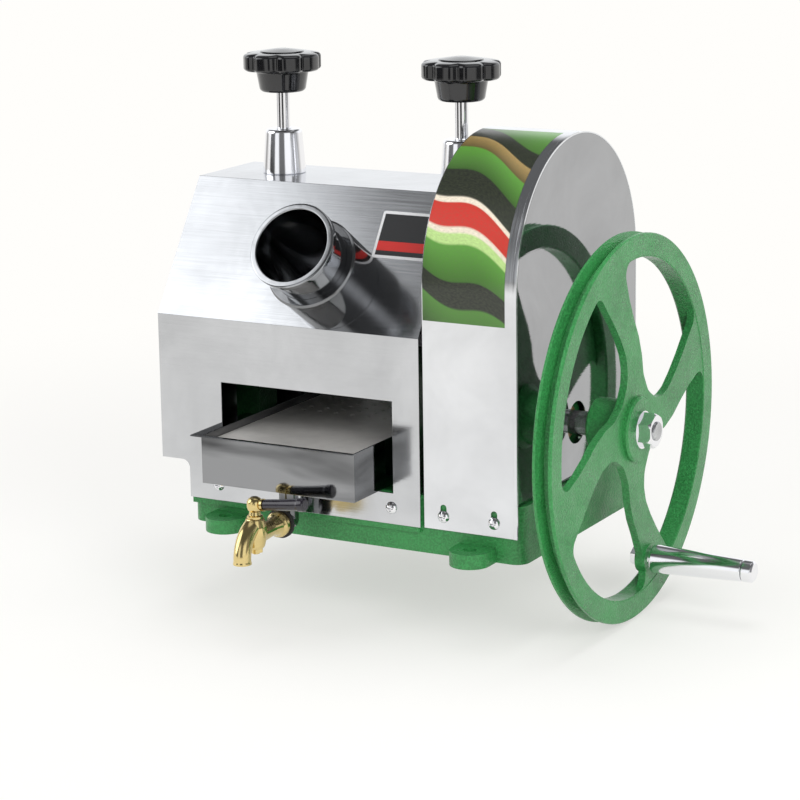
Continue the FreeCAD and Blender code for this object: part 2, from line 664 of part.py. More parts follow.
def crank_shaft():
    start = CRANK_START
    bar = rod("crank_bar", "X", start, "crank_setback", "crank_height", "crank_radius",
              "%s - 1 - %s" % (HUB_FRONT, start))
    bar = chamfered("crank_bar_eased", bar)
    stud = rod("crank_stud", "X", HUB_FRONT + " - 3", "crank_setback", "crank_height", "stud_radius", 22)
    stud = chamfered("crank_stud_eased", stud)
    seats = [key_block("crank_hub_seat", HUB_BACK + " + 6", "hub_length - 14", "crank_setback",
                       "crank_height",
                       "crank_radius"),
             key_block("crank_pinion_seat", PINION_START, PINION_WIDTH, "crank_setback", "crank_height",
                       "crank_radius")]
    return finish_part(cut("crank_keyed", fuse("crank_solid", bar, stud), *seats), "crank_shaft")


def hand_wheel():
    inner = "wheel_radius - rim_depth"
    middle = RIM_MIDDLE
    rim = turned("wheel_rim", "X", [
        (RIM_BACK, inner + " + 1.5"), (RIM_BACK + " + 2", inner), (RIM_FRONT + " - 2", inner),
        (RIM_FRONT, inner + " + 1.5"), (RIM_FRONT, "wheel_radius - 1"), (RIM_FRONT + " - 1", "wheel_radius"),
        (RIM_FRONT + " - groove_lip", "wheel_radius"), (middle + " + 2.6", "wheel_radius - groove_depth"),
        (middle + " - 2.6", "wheel_radius - groove_depth"), (RIM_BACK + " + groove_lip", "wheel_radius"),
        (RIM_BACK + " + 1", "wheel_radius"), (RIM_BACK, "wheel_radius - 1")],
        y="crank_setback", z="crank_height")
    hub = turned("wheel_hub", "X", [
        (HUB_BACK, "crank_radius"), (HUB_FRONT, "crank_radius"), (HUB_FRONT, "hub_radius - 2"),
        (HUB_FRONT + " - 2", "hub_radius"), (WEB_BACK + " - 3", "hub_radius"),
        (WEB_BACK + " - 9", "hub_back_radius"), (HUB_BACK + " + 2", "hub_back_radius"),
        (HUB_BACK, "hub_back_radius - 2")], y="crank_setback", z="crank_height")
    pieces = [rim, hub]
    web = rod("wheel_web", "X", WEB_BACK, "crank_setback", "crank_height", inner + " + 1", "web_thickness")
    windows = []
    for n in range(4):
        points = [("%s * (%s)" % (along, inner), "%s * (%s)" % (across, inner)) for along, across in WINDOW]
        blank = pushed("window_blank_%d" % n, "YZ_Plane", points, "web_thickness + 2", WEB_BACK + " - 1",
                       "crank_setback", "crank_height", (1, 0, 0), size("spoke_angle") + 90 * n)
        disc = rod("window_disc_%d" % n, "X", WEB_BACK + " - 1", "crank_setback", "crank_height", inner,
                   "web_thickness + 2")
        windows.append(smoothed("window_%d" % n, common("window_rough_%d" % n, blank, disc)))
    pieces.append(cut("wheel_spokes", web, *windows))
    boss = rod("grip_boss", "X", WEB_BACK + " - 2", GRIP_Y, GRIP_Z, 15, "web_thickness + web_recess + 2.5")
    pieces.append(boss)
    tools = [rod("wheel_bore", "X", HUB_BACK + " - 1", "crank_setback", "crank_height", "crank_radius",
                 "hub_length + 2"),
             key_block("wheel_key_seat", HUB_BACK + " - 1", "hub_length + 2", "crank_setback",
                       "crank_height",
                       "crank_radius"),
             rod("grip_hole", "X", middle + " - 20", GRIP_Y, GRIP_Z, "spindle_radius", 40)]
    return finish_part(cut("wheel_cut", fuse("wheel_solid", *pieces), *tools), "hand_wheel")


GRIP_Y = "(crank_setback + grip_orbit * cos(grip_angle))"
GRIP_Z = "(crank_height + grip_orbit * sin(grip_angle))"
GRIP_COLLAR = "(%s + 0.5)" % RIM_FRONT
GRIP_START = "(%s + 3.7)" % GRIP_COLLAR
GRIP_END = "(%s + grip_length)" % GRIP_START


def crank_handle():
    spindle = rod("spindle_bar", "X", WEB_BACK + " - 11", GRIP_Y, GRIP_Z, "spindle_radius",
                  "%s + 8 - %s + 11" % (GRIP_END, WEB_BACK))
    collar = rod("spindle_collar", "X", GRIP_COLLAR, GRIP_Y, GRIP_Z, 11, 3.4)
    finish_part(fuse("spindle_solid", spindle, collar), "handle_spindle")
    nut = hexagon("spindle_nut_solid", "X", WEB_BACK + " - 10", GRIP_Y, GRIP_Z, 17, 8)
    hole = rod("spindle_nut_hole", "X", WEB_BACK + " - 12", GRIP_Y, GRIP_Z, "spindle_radius", 12)
    finish_part(cut("spindle_nut", nut, hole), "handle_nut")
    grip = turned("grip_turned", "X", [
        ("0", "spindle_radius + running"), ("grip_length", "spindle_radius + running"),
        ("grip_length", "grip_end_radius - 1"), ("grip_length - 1", "grip_end_radius"),
        ("2.5", "grip_radius"), ("0.8", "grip_radius - 0.6"), ("0", "grip_radius - 2")],
        GRIP_START, GRIP_Y, GRIP_Z)
    finish_part(grip, "handle_grip")
    cap = turned("cap_turned", "X", [
        ("0", "spindle_radius"), ("7.6", "spindle_radius"), ("7.6", "0"), ("12", "0"),
        ("12", "grip_end_radius - 2.5"), ("10", "grip_end_radius - 0.3"), ("1", "grip_end_radius"),
        ("0", "grip_end_radius - 1")], "%s + 0.4" % GRIP_END, GRIP_Y, GRIP_Z)
    finish_part(cap, "handle_cap")


def hub_fasteners():
    washer = rod("washer_disc", "X", HUB_FRONT, "crank_setback", "crank_height", 19.5, 3)
    hole = rod("washer_hole", "X", HUB_FRONT + " - 1", "crank_setback", "crank_height", "stud_radius", 5)
    washer = cut("washer_cut", washer, hole)
    nut = hexagon("nut_hex", "X", HUB_FRONT + " + 3", "crank_setback", "crank_height", 32, 14)
    trim = cone("nut_trim", "X", HUB_FRONT + " + 3", "crank_setback", "crank_height", 26, 16.4, 14)
    bore = rod("nut_bore", "X", HUB_FRONT + " + 2", "crank_setback", "crank_height", "stud_radius", 18)
    nut = cut("nut_cut", common("nut_eased", nut, trim), bore)
    finish_part(group("hub_nut", washer, nut), "hub_nut")


def outer_pedestal():
    foot = box("pedestal_foot", "pedestal_place", "crank_setback - 52", "base_height", "pedestal_width",
               104, 12)
    foot = rounded("pedestal_foot_eased", foot, 5, lambda edge: runs_along(edge, "Z"))
    points = [("crank_setback - 32", "base_height + 6"), ("crank_setback + 32", "base_height + 6"),
              ("crank_setback + housing_radius", "crank_height"),
              ("crank_setback - housing_radius", "crank_height")]
    web = pushed("pedestal_web", "YZ_Plane", points, "pedestal_width - 6", "pedestal_place + 3")
    round_top = rod("pedestal_housing", "X", "pedestal_place", "crank_setback", "crank_height",
                    "housing_radius",
                    "pedestal_width")
    tools = [rod("pedestal_bore", "X", "pedestal_place - 1", "crank_setback", "crank_height",
                 "crank_radius + bush_wall", "pedestal_width + 2")]
    for n, sign in enumerate("-+"):
        tools.append(rod("pedestal_bolt_hole_%d" % n, "Z", PEDESTAL_MIDDLE,
                         "crank_setback %s pedestal_bolt_offset" % sign, "base_height - 1",
                         "cap_bolt_radius", 19))
    return finish_part(cut("pedestal_cut", fuse("pedestal_solid", foot, web, round_top), *tools),
                       "outer_bearing_pedestal")


def bolts(name, places, z, radius, length, across_flats, head, upward):
    """Upright hex bolts: heads below when they point upward, above otherwise."""
    solids = []
    for n, (x, y) in enumerate(places):
        shank = rod("%s_shank_%d" % (name, n), "Z", x, y, z, radius, length)
        head_z = "%s - %s" % (z, head) if upward else "%s + %s" % (z, length)
        cap = hexagon("%s_head_%d" % (name, n), "Z", x, y, head_z, across_flats, head)
        solids.append(fuse("%s_bolt_%d" % (name, n), shank, cap))
    return solids


def panel_screws(name, places, z, face):
    """Pan-head screws that come in from the front."""
    solids = []
    for n, x in enumerate(places):
        profile = [("-13", "0"), ("4", "0"), ("4", "2"), ("2.8", "screw_head - 2"),
                   ("1.2", "screw_head - 0.3"),
                   ("0", "screw_head"), ("0", "screw_core"), ("-13", "screw_core")]
        screw = turned("%s_screw_%d" % (name, n), "Z", profile)
        place(screw, x, face, z, (1, 0, 0), 90)
        recess = box("%s_recess_%d" % (name, n), x + " - 0.8", face + " - 5", z + " - 3.2", 1.6, 3.2, 6.4)
        cross = box("%s_cross_%d" % (name, n), x + " - 3.2", face + " - 5", z + " - 0.8", 6.4, 3.2, 1.6)
        solids.append(cut("%s_cut_%d" % (name, n), screw, recess, cross))
    return solids


# Covers
def cover_line(inset):
    """Corners of the main cover's side profile, moved inwards by an inset."""
    t = inset
    slope = "(%s)" % SLANT
    rear = "(%s)" % REAR_SLANT
    return [
        ("cover_front + %s" % t, "cover_foot"),
        ("cover_front + %s" % t, "cover_bend - %s * tan(%s / 2)" % (t, slope)),
        ("top_front + %s * (1 - sin(%s)) / cos(%s)" % (t, slope, slope), "cover_top - %s" % t),
        ("top_rear - %s * (1 - sin(%s)) / cos(%s)" % (t, rear, rear), "cover_top - %s" % t),
        ("cover_rear - %s" % t, "rear_bend - %s * tan(%s / 2)" % (t, rear)),
        ("cover_rear - %s" % t, "cover_rear_foot")]


TUBE_Y = "(cover_front + tube_rise * sin(%s))" % SLANT
TUBE_Z = "(cover_bend + tube_rise * cos(%s))" % SLANT


def leaned(thing, x, y, z):
    """Turns a piece whose own axis is Z so that it stands square on the slanted panel."""
    place(thing, x, y, z, (1, 0, 0), 57)
    thing.setExpression(".Placement.Rotation.Angle", bound("90 deg - %s" % SLANT))
    return thing


def main_cover():
    points = cover_line("0") + list(reversed(cover_line("sheet_thickness")))
    sheet = pushed("main_sheet", "YZ_Plane", points, "cover_right - cover_left", "cover_left")
    mouth = box("mouth", "mouth_left", "cover_front - 1", "mouth_bottom", "mouth_right - mouth_left",
                "sheet_thickness + 2", "mouth_top - mouth_bottom")
    notch = box("notch", "cover_left - 1", "cover_front - 1", 0, "notch_left - cover_left + 1",
                "cover_rear - cover_front + 2", "notch_top")
    notch = rounded("notch_rounded", notch, 9, lambda edge: runs_along(edge, "Y")
                    and edge.CenterOfMass.x > size("cover_left") and edge.CenterOfMass.z > 10)
    tube_hole = rod("tube_hole", "Z", "tube_place", TUBE_Y, TUBE_Z, "tube_bore + tube_wall", 20)
    leaned(tube_hole, "tube_place", "%s + 10 * cos(%s)" % (TUBE_Y, SLANT),
           "%s - 10 * sin(%s)" % (TUBE_Z, SLANT))
    outlet = box("outlet", LEFT_INNER, "cover_rear - 5", "outlet_bottom",
                 "%s - %s" % (RIGHT_INNER, LEFT_INNER), 10,
                 "outlet_top - outlet_bottom")
    tools = [mouth, notch, tube_hole, outlet]
    for tag, x in (("left", "frame_left"), ("right", "frame_right")):
        tools.append(rod("top_hole_" + tag, "Z", x, ROLLER_Y, "cover_top - 5", 17.5, 10))
    for tag, x in zip(("left", "right"), SEAT_SCREWS):
        tools.append(rod("panel_hole_" + tag, "Y", x, "cover_front - 1", "panel_screw_height",
                         "screw_core + 0.3", 5))
    return finish_part(cut("main_cover_cut", sheet, *tools), "main_cover")


def left_end_plate():
    inner = cover_line("sheet_thickness")
    points = [(inner[0][0], "notch_top")] + inner[1:5] + [(inner[5][0], "notch_top")]
    plate = pushed("end_sheet", "YZ_Plane", points, "sheet_thickness", "cover_left")
    floor = box("end_floor", "cover_left", inner[0][0], "notch_top", "%s - 2 - cover_left" % LEFT_OUTER,
                "%s - (%s)" % (inner[5][0], inner[0][0]), "sheet_thickness")
    return finish_part(fuse("end_plate_solid", plate, floor), "left_end_plate")


def arch_solid(label, x, length, inset, foot):
    """A solid with the gear cover's arched outline."""
    radius = "(arch_radius - %s)" % inset
    lower = box(label + "_lower", x, "arch_centre_y - " + radius, foot, length, "2 * " + radius,
                "arch_centre_z - (%s)" % foot)
    upper = rod(label + "_upper", "X", x, "arch_centre_y", "arch_centre_z", radius, length)
    return fuse(label + "_outer", lower, upper)


def gear_cover_wrap():
    length = "gear_cover_right - gear_cover_left"
    outer = arch_solid("wrap", "gear_cover_left", length, "0", "side_foot")
    inner = arch_solid("wrap_space", "gear_cover_left - 1", length + " + 2", "sheet_thickness",
                       "side_foot - 1")
    skirt = box("wrap_skirt", "gear_cover_left", "arch_centre_y - arch_radius", "gear_cover_foot", length,
                "sheet_thickness", "side_foot - gear_cover_foot + 1")
    tools = []
    for tag, x in zip(("left", "right"), GEAR_SCREWS):
        tools.append(box("wrap_slot_" + tag, x + " - slot_width / 2", "arch_centre_y - arch_radius - 1",
                         "gear_screw_height", "slot_width", "sheet_thickness + 2", "slot_rise"))
        for end, rise in (("foot", "0"), ("top", "slot_rise")):
            tools.append(rod("wrap_slot_%s_%s" % (tag, end), "Y", x, "arch_centre_y - arch_radius - 1",
                             "gear_screw_height + " + rise, "slot_width / 2", "sheet_thickness + 2"))
    bead_place = "gear_cover_right - bead_width"
    bead = arch_solid("bead", bead_place, "bead_width", "-bead_rise", "gear_cover_foot")
    bead_space = arch_solid("bead_space", bead_place + " - 1", "bead_width + 2", "0.5",
                            "gear_cover_foot - 1")
    bead_keep = box("bead_keep", bead_place + " - 1", "arch_centre_y - arch_radius - 5",
                    "gear_cover_foot - 1",
                    "bead_width + 2", "arch_radius + 5", "arch_radius + arch_centre_z - gear_cover_foot + 5")
    edge = common("bead_front", cut("bead_hoop", bead, bead_space), bead_keep)
    hoop = cut("wrap_hoop", outer, inner)
    return finish_part(cut("wrap_cut", fuse("wrap_solid", hoop, skirt, edge), *tools), "gear_cover_wrap")


def gear_cover_side():
    plate = arch_solid("side", "gear_cover_right - sheet_thickness", "sheet_thickness", "sheet_thickness",
                       "side_foot")
    window = rod("side_window", "X", "gear_cover_right - 5", "crank_setback", "crank_height",
                 "shaft_window_radius", 10)
    return finish_part(cut("side_cut", plate, window), "gear_cover_side")


def gear_cover_back():
    plate = arch_solid("back", "gear_cover_left", "sheet_thickness", "sheet_thickness", "side_foot")
    window = box("back_window", "gear_cover_left - 1", "%s - frame_half_depth - 8" % ROLLER_Y,
                 "side_foot - 1",
                 "sheet_thickness + 2", "2 * frame_half_depth + 16", FRAME_TOP + " - side_foot + 2")
    return finish_part(cut("back_cut", plate, window), "gear_cover_back")


def printed_film():
    film = arch_solid("film", "gear_cover_left + 1", "decal_width", "-decal_skin", "decal_bottom")
    space = arch_solid("film_space", "gear_cover_left", "decal_width + 2", "0", "decal_bottom - 1")
    keep = box("film_keep", "gear_cover_left", "arch_centre_y - arch_radius - 1", "decal_bottom",
               "decal_width + 2", "arch_radius - 8", "arch_radius + arch_centre_z - decal_bottom + 2")
    return finish_part(common("film_front", cut("film_hoop", film, space), keep), "gear_cover_film")


def feed_tube():
    outer = "tube_bore + tube_wall"
    profile = [
        ("-tube_inset", "tube_bore"), ("tube_reach - 1.5", "tube_bore"), ("tube_reach", "tube_bore + 1.2"),
        ("tube_reach", "%s + lip_bead" % outer), ("tube_reach - 1.3", "%s + 1.7 * lip_bead" % outer),
        ("tube_reach - 2.2 * lip_bead", "%s + 1.7 * lip_bead" % outer),
        ("tube_reach - 2.8 * lip_bead", "%s + lip_bead" % outer), ("tube_reach - 2.8 * lip_bead", outer),
        ("-tube_inset", outer)]
    tube = turned("tube_turned", "Z", profile)
    finish_part(leaned(tube, "tube_place", TUBE_Y, TUBE_Z), "feed_tube")
    profile = [
        ("0.2", "collar_radius - collar_wall"), ("0.2", "collar_radius"),
        ("collar_height - 2", "collar_radius"),
        ("collar_height", "collar_radius - 2"), ("collar_height", outer),
        ("collar_height - collar_wall", outer),
        ("collar_height - collar_wall", "collar_radius - collar_wall")]
    collar = turned("collar_turned", "Z", profile)
    finish_part(leaned(collar, "tube_place", TUBE_Y, TUBE_Z), "feed_collar")


def feed_guide():
    top = "%s + 30.5" % LOWER_Z
    plate = box("guide_plate", LEFT_OUTER, "cover_front + 20", top + " - 2.5",
                "%s - %s" % (RIGHT_OUTER, LEFT_OUTER),
                "%s - frame_half_depth - 3 - cover_front - 20" % ROLLER_Y, 2.5)
    tongue = box("guide_tongue", LEFT_INNER + " + 0.5", "%s - frame_half_depth - 4" % ROLLER_Y,
                 top + " - 2.5",
                 "%s - %s - 1" % (RIGHT_INNER, LEFT_INNER),
                 "%s - 32 - %s + frame_half_depth + 4" % (FEED_Y, ROLLER_Y),
                 2.5)
    pieces = [plate, tongue]
    for tag, x in (("left", LEFT_OUTER), ("right", RIGHT_INNER)):
        pieces.append(box("guide_ear_" + tag, x, "%s - frame_half_depth - 3" % ROLLER_Y, top + " - 24",
                          "frame_thickness", 3, 24))
    return finish_part(fuse("guide_solid", *pieces), "feed_guide")


def turn_plate():
    shape = [("-12.5", "-2"), ("-6", "-3.4"), ("0", "-3.8"), ("6", "-3.4"), ("12.5", "-2"), ("12.5", "-6"),
             ("4", "-11"), ("4", "-50"), ("9", "-50"), ("9", "-66"), ("-9", "-66"), ("-9", "-50"),
             ("-4", "-50"), ("-4", "-11"), ("-12.5", "-6")]
    points = [("%s + %s" % (ROLLER_Y, y), "%s - roller_radius + 1 + %s" % (TOP_Z, z)) for y, z in shape]
    bar = pushed("turn_bar", "YZ_Plane", points, "%s - %s" % (RIGHT_INNER, LEFT_INNER), LEFT_INNER)
    return finish_part(bar, "turn_plate")


def bagasse_chute():
    start_y = "%s + 34" % DISCHARGE_Y
    start_z = "%s + 28" % LOWER_Z
    end_y = "cover_rear + chute_reach"
    end_z = "%s - chute_drop" % start_z
    floor = [(start_y, start_z), (end_y, end_z), (end_y, end_z + " - 2"), (start_y, start_z + " - 2.2")]
    pieces = [pushed("chute_floor", "YZ_Plane", floor, "%s - %s - 1" % (RIGHT_INNER, LEFT_INNER),
                     LEFT_INNER + " + 0.5")]
    cheek = [(start_y + " + 4", start_z + " - 4"), (end_y, end_z + " - 1"), (end_y, end_z + " + 18"),
             (start_y + " + 4", start_z + " + 16")]
    for tag, x in (("left", LEFT_INNER + " + 0.5"), ("right", RIGHT_INNER + " - 2.5")):
        pieces.append(pushed("chute_cheek_" + tag, "YZ_Plane", cheek, "2", x))
    for tag, x in (("left", LEFT_OUTER), ("right", RIGHT_INNER + " - 2.5")):
        pieces.append(box("chute_ear_" + tag, x, "%s + frame_half_depth" % ROLLER_Y, start_z + " - 6",
                          "frame_thickness + 2.5", 3, 20))
    return finish_part(fuse("chute_solid", *pieces), "bagasse_chute")


# Top bearing adjustment
def adjuster(side, middle):
    pad = turned("pad_%s_turned" % side, "Z", [
        ("0", "0"), ("0", "pad_radius"), ("pad_thickness - 1.5", "pad_radius"),
        ("pad_thickness", "pad_radius - 2"),
        ("pad_thickness", "0")], middle, ROLLER_Y, BLOCK_TOP)
    start = "(%s + pad_thickness)" % BLOCK_TOP
    screw = rod("screw_%s_bar" % side, "Z", middle, ROLLER_Y, start, "screw_radius",
                "knob_height + knob_cup - %s" % start)
    finish_part(chamfered("screw_%s_eased" % side, screw), "adjusting_screw_" + side)
    sleeve = turned("sleeve_%s_turned" % side, "Z", [
        ("0", "screw_radius + 0.5"), ("0", "sleeve_bottom_radius - 0.6"), ("1", "sleeve_bottom_radius"),
        ("sleeve_height - 2", "sleeve_top_radius"), ("sleeve_height", "sleeve_top_radius - 2.5"),
        ("sleeve_height", "screw_radius + 0.5")], middle, ROLLER_Y, "cover_top")
    cup = turned("knob_%s_cup" % side, "Z", [
        ("0", "0"), ("0", "13"), ("5", "14"), ("5.5", "24"), ("knob_cup + 1", "28.5"),
        ("knob_cup + knob_disc", "30"), ("knob_cup + knob_disc + 4", "17"),
        ("knob_cup + knob_disc + 4", "0")],
        middle, ROLLER_Y, "knob_height")
    disc = rod("knob_%s_disc" % side, "Z", middle, ROLLER_Y, "knob_height + knob_cup", "knob_radius - 7.5",
               "knob_disc")
    pieces = [cup, disc]
    for n in range(int(size("knob_lobes"))):
        angle = 360.0 * (n + 0.5) / int(size("knob_lobes"))
        lobe = rod("knob_%s_lobe_%d" % (side, n), "Z",
                   "%s + (knob_radius - 10.5) * cos(%g)" % (middle, angle),
                   "%s + (knob_radius - 10.5) * sin(%g)" % (ROLLER_Y, angle), "knob_height + knob_cup", 10.5,
                   "knob_disc")
        pieces.append(chamfered("knob_%s_lobe_eased_%d" % (side, n), lobe))
    bore = rod("knob_%s_bore" % side, "Z", middle, ROLLER_Y, "knob_height - 1", "screw_radius",
               "knob_cup + 1")
    finish_part(cut("knob_%s_cut" % side, fuse("knob_%s_solid" % side, *pieces), bore), "star_knob_" + side)
    return pad, sleeve


# Juice tray, strainer and tap
def juice_tray():
    width = "tray_right - tray_left"
    depth = "tray_rear - tray_front"
    outer = box("tray_outer", "tray_left", "tray_front", "tray_floor", width, depth, "tray_rim - tray_floor")
    space = box("tray_space", "tray_left + tray_sheet", "tray_front + tray_sheet", "tray_floor + tray_sheet",
                width + " - 2 * tray_sheet", depth + " - 2 * tray_sheet", "tray_rim")
    lip = box("tray_side_lip", "tray_left - tray_lip", "tray_front", "tray_rim - tray_sheet", "tray_lip + 1",
              "lip_rear - tray_front", "tray_sheet")
    hem = box("tray_front_hem", "tray_left - tray_lip", "tray_front - 4", "tray_rim - tray_sheet",
              width + " + tray_lip", 5, "tray_sheet")
    drain = rod("tray_drain_hole", "Z", "drain_place", "drain_setback", "tray_floor - 1",
                "drain_radius - drain_wall", "tray_sheet + 2")
    shell = cut("tray_shell", outer, space)
    return finish_part(cut("tray_cut", fuse("tray_solid", shell, lip, hem), drain), "juice_tray")


def strainer_plate():
    plate = box("strainer_sheet", "tray_left + tray_sheet + 0.5", "tray_front + tray_sheet + 0.5",
                "tray_rim - strainer_drop - 1.2", "tray_right - tray_left - 2 * tray_sheet - 1",
                "tray_rear - tray_front - 2 * tray_sheet - 1", 1.2)
    legs = []
    for n, y in enumerate(("tray_front + 40", "tray_rear - 40")):
        legs.append(box("strainer_leg_%d" % n, "tray_left + tray_sheet + 0.5", y, "tray_floor + tray_sheet",
                        "tray_right - tray_left - 2 * tray_sheet - 1", 1.2,
                        "tray_rim - strainer_drop - 1 - tray_floor - tray_sheet"))
    tools = []
    for column in range(8):
        for line in range(8):
            tools.append(rod("strainer_hole_%d_%d" % (column, line), "Z",
                             "tray_left + (tray_right - tray_left) * %g" % ((column + 1) / 9.0),
                             "tray_rear - 24 - %d" % (16 * line), "tray_rim - strainer_drop - 3",
                             "strainer_hole", 5))
    return finish_part(cut("strainer_cut", fuse("strainer_solid", plate, *legs), *tools), "strainer_plate")


def drain_pipe():
    corner = "drain_radius"
    pieces = [
        rod("drain_drop", "Z", "drain_place", "drain_setback", "tap_height", corner,
            "tray_floor - tap_height"),
        rod("drain_run", "Y", "drain_place", "gasket_place", "tap_height", corner,
            "drain_setback - gasket_place"),
        ball("drain_corner", "drain_place", "drain_setback", "tap_height", corner)]
    bore = "drain_radius - drain_wall"
    tools = [
        rod("drain_drop_bore", "Z", "drain_place", "drain_setback", "tap_height", bore, "tray_floor"),
        rod("drain_run_bore", "Y", "drain_place", "gasket_place - 1", "tap_height", bore,
            "drain_setback - gasket_place + 1"),
        ball("drain_corner_bore", "drain_place", "drain_setback", "tap_height", bore)]
    return finish_part(cut("drain_cut", fuse("drain_solid", *pieces), *tools), "drain_pipe")


def tap():
    x = "drain_place"
    z = "tap_height"
    gasket_front = "(gasket_place - gasket_thickness)"
    gasket = rod("gasket_disc", "Y", x, gasket_front, z, "gasket_radius", "gasket_thickness")
    hole = rod("gasket_hole", "Y", x, gasket_front + " - 1", z, "drain_radius - drain_wall",
               "gasket_thickness + 2")
    finish_part(cut("gasket_cut", gasket, hole), "tap_gasket")
    spigot = rod("tap_spigot", "Y", x, gasket_front + " - 1", z, "drain_radius - drain_wall", 15)
    inlet_end = "%s - plug_place" % gasket_front
    inlet = turned("tap_inlet", "Z", [
        ("0", "0"), ("0", "flange_radius - 1.2"), ("1.2", "flange_radius"), ("6", "flange_radius"),
        ("8", "flange_radius - 1.6"), ("10", "10.4"), ("20", "8.6"), ("30", "9.2"),
        (inlet_end, "10.5"), (inlet_end, "0")])
    place(inlet, x, gasket_front, z, (1, 0, 0), 90)
    body = turned("tap_barrel", "Z", [
        ("-13", "0"), ("-13", "8"), ("-11", "9.5"), ("-7", "tap_body_radius - 1.5"),
        ("0", "tap_body_radius"),
        ("9", "tap_body_radius"), ("14", "tap_body_radius - 1.5"), ("17", "9.5"), ("18", "9"), ("18", "0")],
        x, "plug_place", z)
    shoulder = ball("tap_shoulder", x, "plug_place - 2", z + " + 7.2", 10.4)
    bend_y = "(plug_place - spout_reach + spout_bend)"
    bend_z = "(%s - 20)" % z
    bend = quarter("tap_bend", x, bend_y, bend_z, "spout_bend", "spout_radius", 62)
    nose = turned("tap_nose", "Z", [
        ("0", "0"), ("0", "spout_radius"), ("-2", "spout_radius + 0.5"), ("-3.4", "spout_radius + 0.5"),
        ("-3.4", "0")], x, "plug_place - spout_reach", bend_z)
    solid = fuse("tap_solid", spigot, inlet, body, shoulder, bend, nose)
    tools = [
        rod("tap_waterway", "Y", x, "plug_place - 17", z, 4, "%s - plug_place + 28" % gasket_front),
        rod("tap_outlet", "Z", x, "plug_place - spout_reach", bend_z + " - 5", "spout_radius - 3", 5.1),
        quarter("tap_bend_space", x, bend_y, bend_z, "spout_bend", "spout_radius - 3", 48),
        rod("tap_plug_bore", "Z", x, "plug_place", z + " - 20", "plug_radius + running", 45)]
    finish_part(cut("tap_cut", solid, *tools), "tap_body")
    plug = turned("plug_turned", "Z", [
        ("-19", "0"), ("-19", "4"), ("-12.6", "4"), ("-12.2", "plug_radius"), ("18.3", "plug_radius"),
        ("18.3", "8.2"), ("20.5", "8.2"), ("21.5", "6.2"), ("25", "5.6"), ("27", "7.2"), ("30", "8"),
        ("35.5", "8"),
        ("38.5", "6"), ("40", "3.5"), ("40", "0")], x, "plug_place", z)
    lever_z = "(%s + 31.5)" % z
    tilt = 90 - size("lever_tilt")
    port = rod("plug_port", "X", x + " - 20", "plug_place", z, 4, 40)
    socket = rod("plug_socket", "X", x, "plug_place", lever_z, "lever_bar_radius + 0.02", 20)
    place(socket, x, "plug_place", lever_z, (0, 1, 0), tilt)
    finish_part(cut("plug_cut", plug, port, socket), "tap_plug")
    nut = hexagon("plug_nut_hex", "Z", x, "plug_place", z + " - 17.1", 14, 4)
    nut_hole = rod("plug_nut_hole", "Z", x, "plug_place", z + " - 20", 4, 10)
    finish_part(cut("plug_nut_cut", nut, nut_hole), "tap_plug_nut")
    arm_bar = turned("lever_bar", "Z", [
        ("0.1", "0"), ("0.1", "lever_bar_radius"), ("8.6", "lever_bar_radius"), ("8.6", "6.4"),
        ("11.4", "6.4"),
        ("11.4", "lever_bar_radius"), ("lever_length - 6", "lever_bar_radius"), ("lever_length - 6", "0")])
    place(arm_bar, x, "plug_place", lever_z, (0, 1, 0), tilt)
    finish_part(arm_bar, "tap_lever")
    grip = turned("lever_grip_turned", "Z", [
        ("11.5", "lever_bar_radius"), ("lever_length - 5.5", "lever_bar_radius"),
        ("lever_length - 5.5", "0"),
        ("lever_length", "0"), ("lever_length", "lever_radius - 0.6"),
        ("lever_length - 1.5", "lever_radius + 0.8"),
        ("lever_length - 7", "lever_radius + 0.8"), ("lever_length - 9", "lever_radius + 0.1"),
        ("30", "lever_radius - 0.5"), ("13", "lever_radius - 0.4"), ("11.5", "lever_radius - 1.2")])
    place(grip, x, "plug_place", lever_z, (0, 1, 0), tilt)
    finish_part(grip, "tap_lever_grip")


def tray_rails():
    rails = []
    for tag, x in (("left", "tray_left + 12"), ("right", "tray_right - 27")):
        rails.append(box("rail_" + tag, x, BASE_FRONT + " + 14", "base_height", 15, BASE_DEPTH + " - 50",
                         "tray_floor - base_height - 0.3"))
    return finish_part(group("tray_rails", *rails), "tray_rails")


def crank_fittings():
    solids = []
    for tag, start, end in (("inner", RIGHT_OUTER + " + 0.4", PINION_START),
                            ("outer", "%s + %s" % (PINION_START, PINION_WIDTH), "pedestal_place - 0.4")):
        outer = rod("crank_spacer_" + tag, "X", start, "crank_setback", "crank_height", "crank_radius + 5",
                    "%s - (%s)" % (end, start))
        hole = rod("crank_spacer_hole_" + tag, "X", start + " - 1", "crank_setback", "crank_height",
                   "crank_radius", "%s - (%s) + 2" % (end, start))
        solids.append(cut("crank_spacer_cut_" + tag, outer, hole))
    solids.append(key_block("pinion_key", PINION_START, PINION_WIDTH, "crank_setback", "crank_height",
                            "crank_radius"))
    solids.append(key_block("hub_key", HUB_BACK + " + 6", "hub_length - 14", "crank_setback", "crank_height",
                            "crank_radius"))
    return finish_part(group("crank_fittings", *solids), "crank_fittings")


def shaft_spacer(name, y, z):
    outer = rod(name + "_outer", "X", RIGHT_OUTER + " + 0.4", y, z, "shaft_radius + 5",
                "roller_gear_place - %s - 0.4" % RIGHT_OUTER)
    hole = rod(name + "_hole", "X", RIGHT_OUTER, y, z, "shaft_radius", "roller_gear_place")
    return cut(name + "_cut", outer, hole)


def gear_ring(name, y, z):
    outer = rod(name + "_outer", "X", "roller_gear_place + roller_gear_width", y, z, "shaft_radius + 4", 1.5)
    hole = rod(name + "_hole", "X", "roller_gear_place", y, z, "shaft_radius", "roller_gear_width + 10")
    return cut(name + "_cut", outer, hole)


